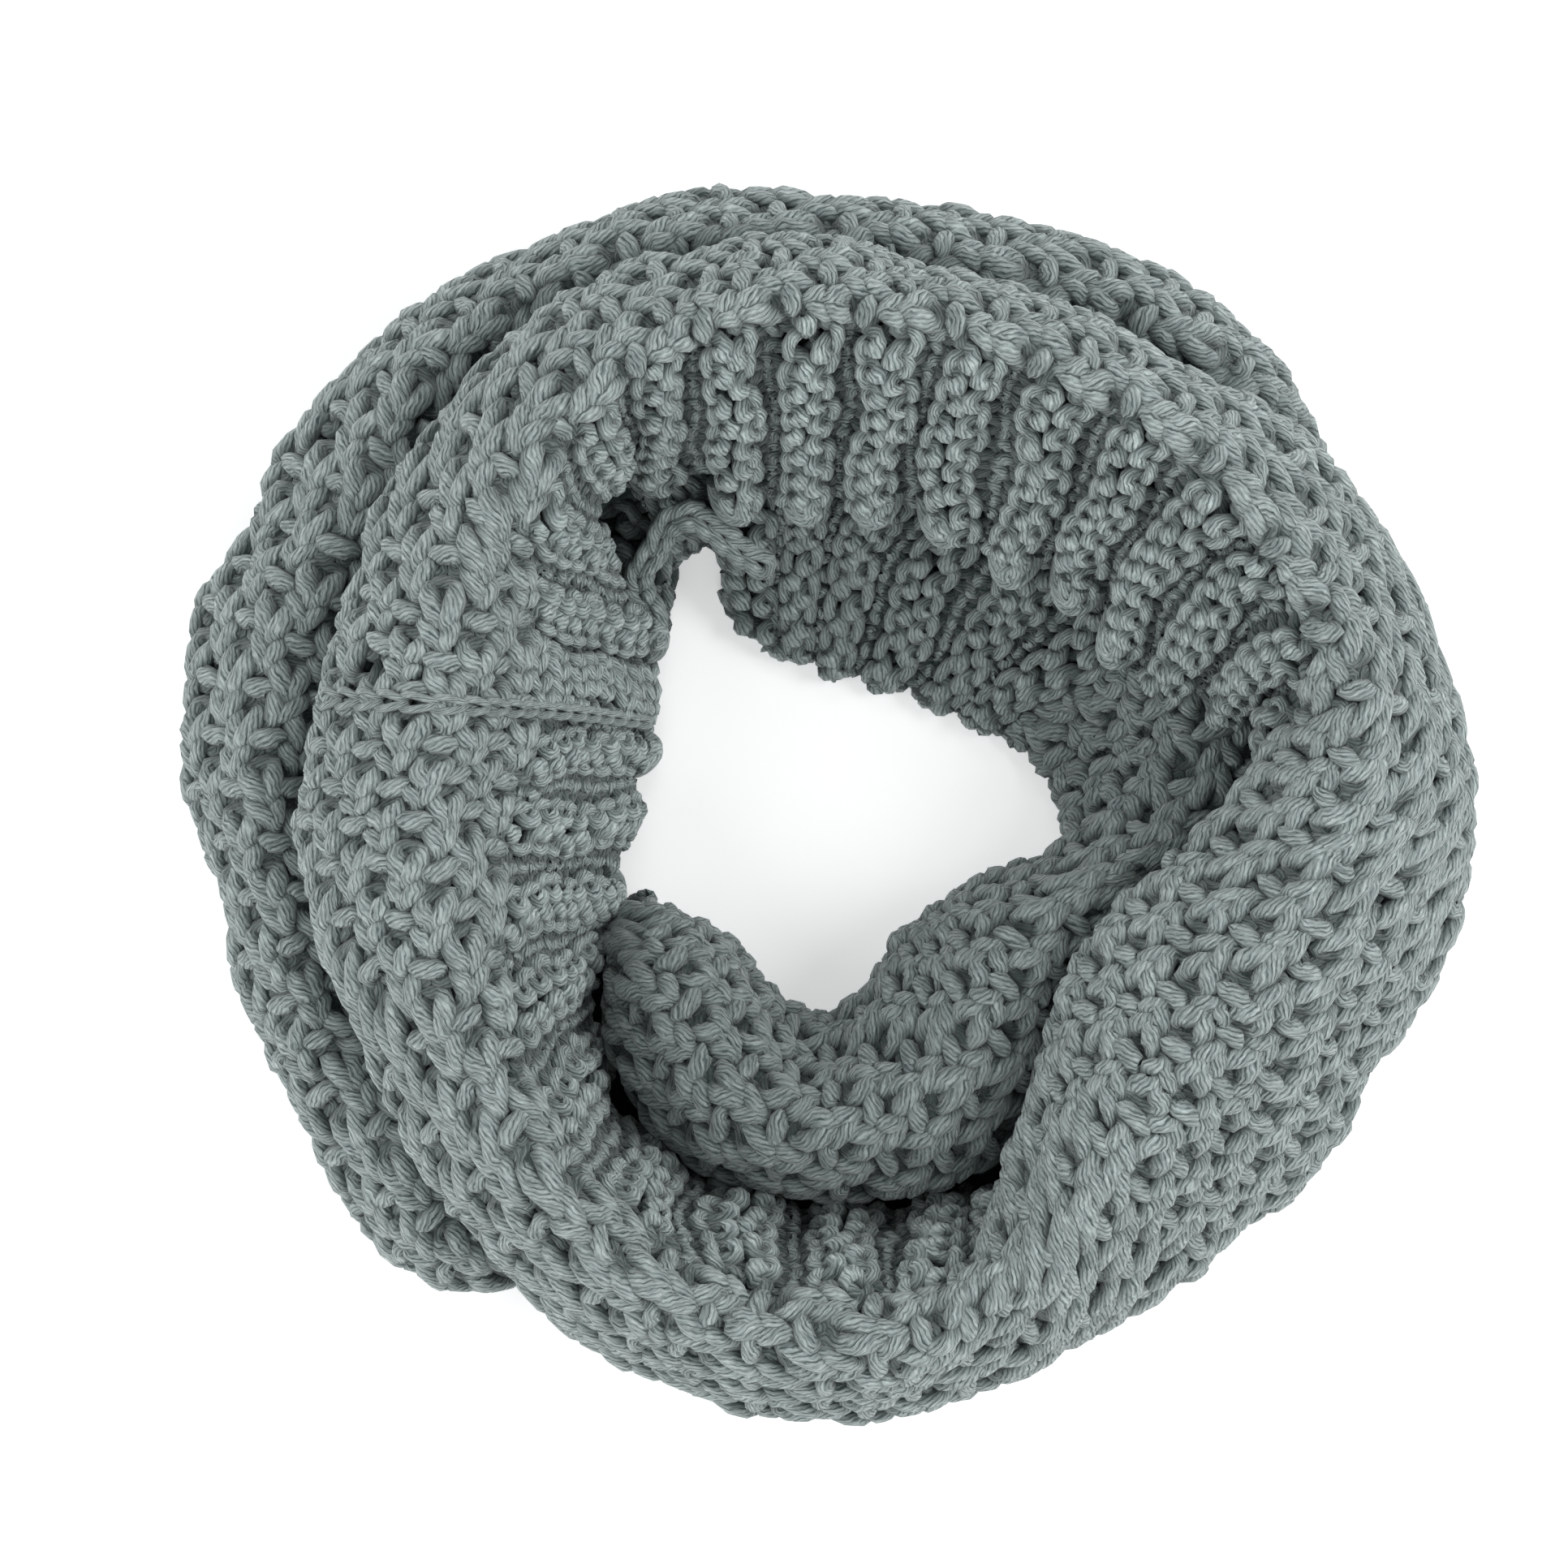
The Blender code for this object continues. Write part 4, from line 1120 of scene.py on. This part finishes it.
class WoolNodes:
    # a new material, and short ways to add what both kinds of wool share
    def __init__(self, name, look):
        self.look = look
        self.material = bpy.data.materials.new(name)
        self.material.use_nodes = True
        self.add, self.feed, self.maths = nodeTools(self.material.node_tree)
        self.shader = self.material.node_tree.nodes["Principled BSDF"]
        self.feed(look["roughness"], self.shader.inputs["Roughness"])
        self.feed(look["specular"], self.shader.inputs["Specular IOR Level"])
        self.place = self.add("ShaderNodeTexCoord").outputs["Object"]

    def noise(self, scale, detail, roughness=0.5, vector=None):
        node = self.add("ShaderNodeTexNoise")
        self.feed(scale, node.inputs["Scale"])
        self.feed(detail, node.inputs["Detail"])
        self.feed(roughness, node.inputs["Roughness"])
        self.feed(self.place if vector is None else vector, node.inputs["Vector"])
        return node.outputs[0]

    def ranged(self, value, *limits):
        node = self.add("ShaderNodeMapRange")
        self.feed(value, node.inputs["Value"])
        for limit, label in zip(limits, ("From Min", "From Max", "To Min", "To Max")):
            self.feed(limit, node.inputs[label])
        return node.outputs[0]

    def blended(self, share, first, second):
        node = self.add("ShaderNodeMix", data_type="RGBA")
        for value, index in ((share, 0), (first, 6), (second, 7)):
            self.feed(value, node.inputs[index])
        return node.outputs[2]

    def finish(self, colour, height):
        bump = self.add("ShaderNodeBump")
        self.feed(self.look["bump"][0], bump.inputs["Strength"])
        self.feed(self.look["bump"][1], bump.inputs["Distance"])
        self.feed(height, bump.inputs["Height"])
        self.feed(bump.outputs["Normal"], self.shader.inputs["Normal"])
        self.feed(colour, self.shader.inputs["Base Color"])
        return self.material


def woolMaterial(name, paintedLightening):
    wool = WoolNodes(name, woolLook)
    add, feed, maths = wool.add, wool.feed, wool.maths
    feed(woolLook["sheen"][0], wool.shader.inputs["Sheen Weight"])
    feed(woolLook["sheen"][1], wool.shader.inputs["Sheen Roughness"])
    parts = add("ShaderNodeSeparateXYZ")
    feed(add("ShaderNodeUVMap", uv_map="yarnMap").outputs["UV"], parts.inputs[0])
    along = maths("MULTIPLY", parts.outputs["Y"], 1000.0)  # from metres
    turn = maths("ADD", parts.outputs["X"], maths("DIVIDE", along, woolLook["twist"]))
    waverScale, waver = woolLook["waver"]
    phase = maths("ADD", maths("MULTIPLY", turn, float(woolLook["strands"])),
                  maths("MULTIPLY", wool.noise(waverScale, 2.0), waver))
    # rounded strands with narrow grooves between them
    wave = maths("COSINE", maths("MULTIPLY", phase, 2.0 * math.pi))
    ply = maths("POWER", maths("MULTIPLY", maths("ADD", wave, 1.0), 0.5), 0.5)

    def fibres(acrossScale, alongScale, strength):
        # streaks that run with the strands
        spot = add("ShaderNodeCombineXYZ")
        feed(maths("MULTIPLY", phase, acrossScale), spot.inputs["X"])
        feed(maths("MULTIPLY", along, alongScale), spot.inputs["Y"])
        return maths("MULTIPLY", wool.noise(1.0, 2.0, 0.6, spot.outputs[0]), strength)

    short, long = woolLook["hair"]
    hair = maths("ADD", fibres(*short), fibres(*long))
    height = maths("ADD", maths("MULTIPLY", ply, woolLook["plyHeight"]), hair)
    # painted light: above 1 lightens the same yarn where it lies in shade
    dark, light = [(*[part * paintedLightening for part in woolLook[shade]], 1.0) for shade in ("dark", "light")]
    paintedShade = (*woolLook["paintedShade"], 1.0)
    colour = wool.blended(wool.ranged(height, *woolLook["shadeRange"]), dark, light)
    # painted shade: darker where the strand lies deep or behind, and on its sides that look away
    # from the cloth
    for label, limits in (("paintedShadeMark", woolLook["paintedSunkShade"]), ("outward", woolLook["paintedRimShade"])):
        share = add("ShaderNodeAttribute", attribute_name=label).outputs["Fac"]
        colour = wool.blended(wool.ranged(share, *limits), colour, paintedShade)
    patchScale, strength, least = woolLook["patches"]
    patches = maths("ADD", maths("MULTIPLY", wool.noise(patchScale, 3.0), strength), least)
    vary = add("ShaderNodeHueSaturation")
    feed(patches, vary.inputs["Value"])
    feed(colour, vary.inputs["Color"])
    return wool.finish(vary.outputs["Color"], height)


def insideMaterial(name):
    wool = WoolNodes(name, shadedInsideLook)
    fibre = wool.noise(shadedInsideLook["fibreScale"], 4.0)
    colour = wool.blended(fibre, (*shadedInsideLook["dark"], 1.0), (*shadedInsideLook["light"], 1.0))
    return wool.finish(colour, fibre)


# the borders lie in shade, so their wool is painted a little lighter, as painted light against that
# shade
slotWool = {"wool_textured": woolMaterial("wool_moss", 1.0),
            "wool_welted": woolMaterial("wool_welted", 1.2)}
shadedWoolInside = insideMaterial("wool_inside_painted_shade")
print("wool ready")

backing = {
    # a thin inner cloth that closes the gaps between loops, in the painted shade of the inside wool
    "depth": 7.4,         # below the cloth's face
    "perWelt": 4,
    "step": 6.0,
    "floorGap": 1.0,
    "afterTuck": 1.5,     # how far from the fold it starts
    "leastWidth": 2.0,
}

# the ring and welts of each stretch, and where it starts and ends from the hem: None is the
# cloth's far side
border = cloth["borderWidth"]
turnEnd = cloth["seamWelt"] + cloth["turnWelts"]
upperBack = ("upper", cloth["seamWelt"], stretchEnds["upperBack"])
upperFront = ("upper", stretchEnds["upperRight"], stretchEnds["upperFront"])
upperLeft = ("upper", stretchEnds["upperFront"], turnEnd)
stretches = {
    "outer_turn_left": ("outer", 0.0, stretchEnds["outerLeft"], 0.0, None),
    "outer_turn_back": ("outer", stretchEnds["outerLeft"], outerWelts[-1], 0.0, None),
    "upper_turn_back": (*upperBack, border, None),
    "upper_turn_right": ("upper", stretchEnds["upperBack"], stretchEnds["upperRight"], 0.0, None),
    "upper_turn_front": (*upperFront, border, None),
    "upper_turn_left": (*upperLeft, border, None),
    "upper_border_back": (*upperBack, 0.0, border),
    "upper_border_front": (*upperFront, 0.0, border),
    "upper_border_left": (*upperLeft, 0.0, border),
    "inner_turn_back": ("inner", innerTable[0, 0], cloth["innerBorderEnd"], 0.0, None),
    "inner_turn_front": ("inner", cloth["innerBorderEnd"], innerTable[-1, 0], 0.0, None),
}


def backingSheet(name, ring, first, last, fromHem, toHem):
    form = forms[ring]
    count = int(round((last - first) * backing["perWelt"])) + 1
    welts = np.linspace(first, last, count)
    tucked = form.tucked(welts)
    low = np.maximum(fromHem, tucked + backing["afterTuck"])
    high = tucked + form.lengthAt(welts) if toHem is None else np.full(count, float(toHem))
    low = np.minimum(low, high - backing["leastWidth"])
    if ring == "inner":
        high = high + np.where(welts < rowEnds["risenUntil"], rowEnds["risenSlack"], 0.0)
    across = max(3, int(round((high - low).max() / backing["step"])) + 1)
    distance = low[:, None] + (high - low)[:, None] * np.linspace(0.0, 1.0, across)
    point, normal = form.read(np.repeat(welts[:, None], across, axis=1), distance)
    point = point - normal * backing["depth"]
    point[..., 2] = np.maximum(point[..., 2], backing["floorGap"])
    placed = (point - tableMiddle) * millimetre
    faces = []
    for i in range(count - 1):
        for j in range(across - 1):
            a = i * across + j
            faces.append((a, a + across, a + across + 1, a + 1))
    mesh = bpy.data.meshes.new(name)
    mesh.from_pydata([tuple(p) for p in placed.reshape(-1, 3)], [], faces)
    mesh.shade_smooth()
    mesh.materials.append(shadedWoolInside)
    # flat, it is as wide as it is on average, and as long as its area asks
    area = sum(polygon.area for polygon in mesh.polygons)
    width = float((high - low).mean()) * millimetre
    return newPiece(name, mesh), width, area / width


def slotOf(node):
    welted = "border" in node or node in ("inner_turn_back", "joining_seam")
    return "wool_welted" if welted else "wool_textured"


tree, names = yarnTree()
for number, node in enumerate(sorted(strands)):
    radius = seam["yarnRadius"] if node == "joining_seam" else knitting["yarnRadius"]
    piece = sweepYarn(node + "_yarn", strands[node], radius, slotWool[slotOf(node)], tree, names,
                      knitting["seed"] + 1 + number)
    triangles = sum(len(face.vertices) - 2 for face in piece.data.polygons)
    print(node, "yarn triangles", triangles)
    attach(piece, "root")
    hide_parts(node)
    slotOf(node)

for node, stretch in stretches.items():
    sheet, width, length = backingSheet(node + "_cloth", *stretch)
    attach(sheet, "root")
    slotOf(node)
print("cloth and yarn built")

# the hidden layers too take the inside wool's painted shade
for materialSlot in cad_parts["hidden_layers"].material_slots:
    materialSlot.material = shadedWoolInside

studio = {
    "floorSize": 6.0,
    "floorColour": (0.90, 0.905, 0.91, 1.0),
    "floorRoughness": 0.9,
    "floorGlow": 0.39,
    "airStrength": 0.35,
    "lens": 188.0,
    "cameraPlace": (-0.0112, 0.0055, 2.2),
    # name, place, size and power of each lamp
    "lamps": (("soft_window", (1.6, 0.2, 1.2), 1.2, 22.0),
              ("soft_back", (0.2, 1.7, 1.2), 1.4, 10.0),
              ("soft_left", (-1.6, -0.1, 1.1), 1.4, 16.0),
              ("soft_front", (-0.2, -1.7, 1.1), 1.4, 13.0)),
}
white = (1.0, 1.0, 1.0, 1.0)

floorPaint = bpy.data.materials.new("floor_white")
floorPaint.use_nodes = True
floorShader = floorPaint.node_tree.nodes["Principled BSDF"]
for label, value in (("Base Color", studio["floorColour"]), ("Roughness", studio["floorRoughness"]),
                     ("Specular IOR Level", 0.0), ("Emission Color", white),
                     ("Emission Strength", studio["floorGlow"])):
    floorShader.inputs[label].default_value = value
half = studio["floorSize"] / 2.0
floorMesh = bpy.data.meshes.new("floor")
floorMesh.from_pydata([(-half, -half, 0.0), (half, -half, 0.0), (half, half, 0.0),
                       (-half, half, 0.0)], [], [(0, 1, 2, 3)])
floorMesh.materials.append(floorPaint)
newPiece("floor", floorMesh)

for name, place, size, power in studio["lamps"]:
    light = bpy.data.lights.new(name, "AREA")
    light.shape = "DISK"
    light.size = size
    light.energy = power
    lamp = bpy.data.objects.new(name, light)
    lamp.location = place
    # aimed at the middle of the floor
    aim = -np.array(place) / np.linalg.norm(place)
    lamp.rotation_euler = (math.acos(-aim[2]), 0.0, math.atan2(aim[1], aim[0]) - math.pi / 2)
    bpy.context.scene.collection.objects.link(lamp)

world = bpy.data.worlds.new("studio_air")
world.use_nodes = True
air = world.node_tree.nodes["Background"]
air.inputs["Color"].default_value = white
air.inputs["Strength"].default_value = studio["airStrength"]
bpy.context.scene.world = world

camera = bpy.data.cameras.new("camera")
camera.lens = studio["lens"]
camera.sensor_width = 36.0
camera.clip_end = 20.0
eye = bpy.data.objects.new("camera", camera)
eye.location = studio["cameraPlace"]  # it looks straight down
bpy.context.scene.collection.objects.link(eye)
bpy.context.scene.camera = eye
bpy.context.scene.view_settings.view_transform = "Standard"
print("studio ready")
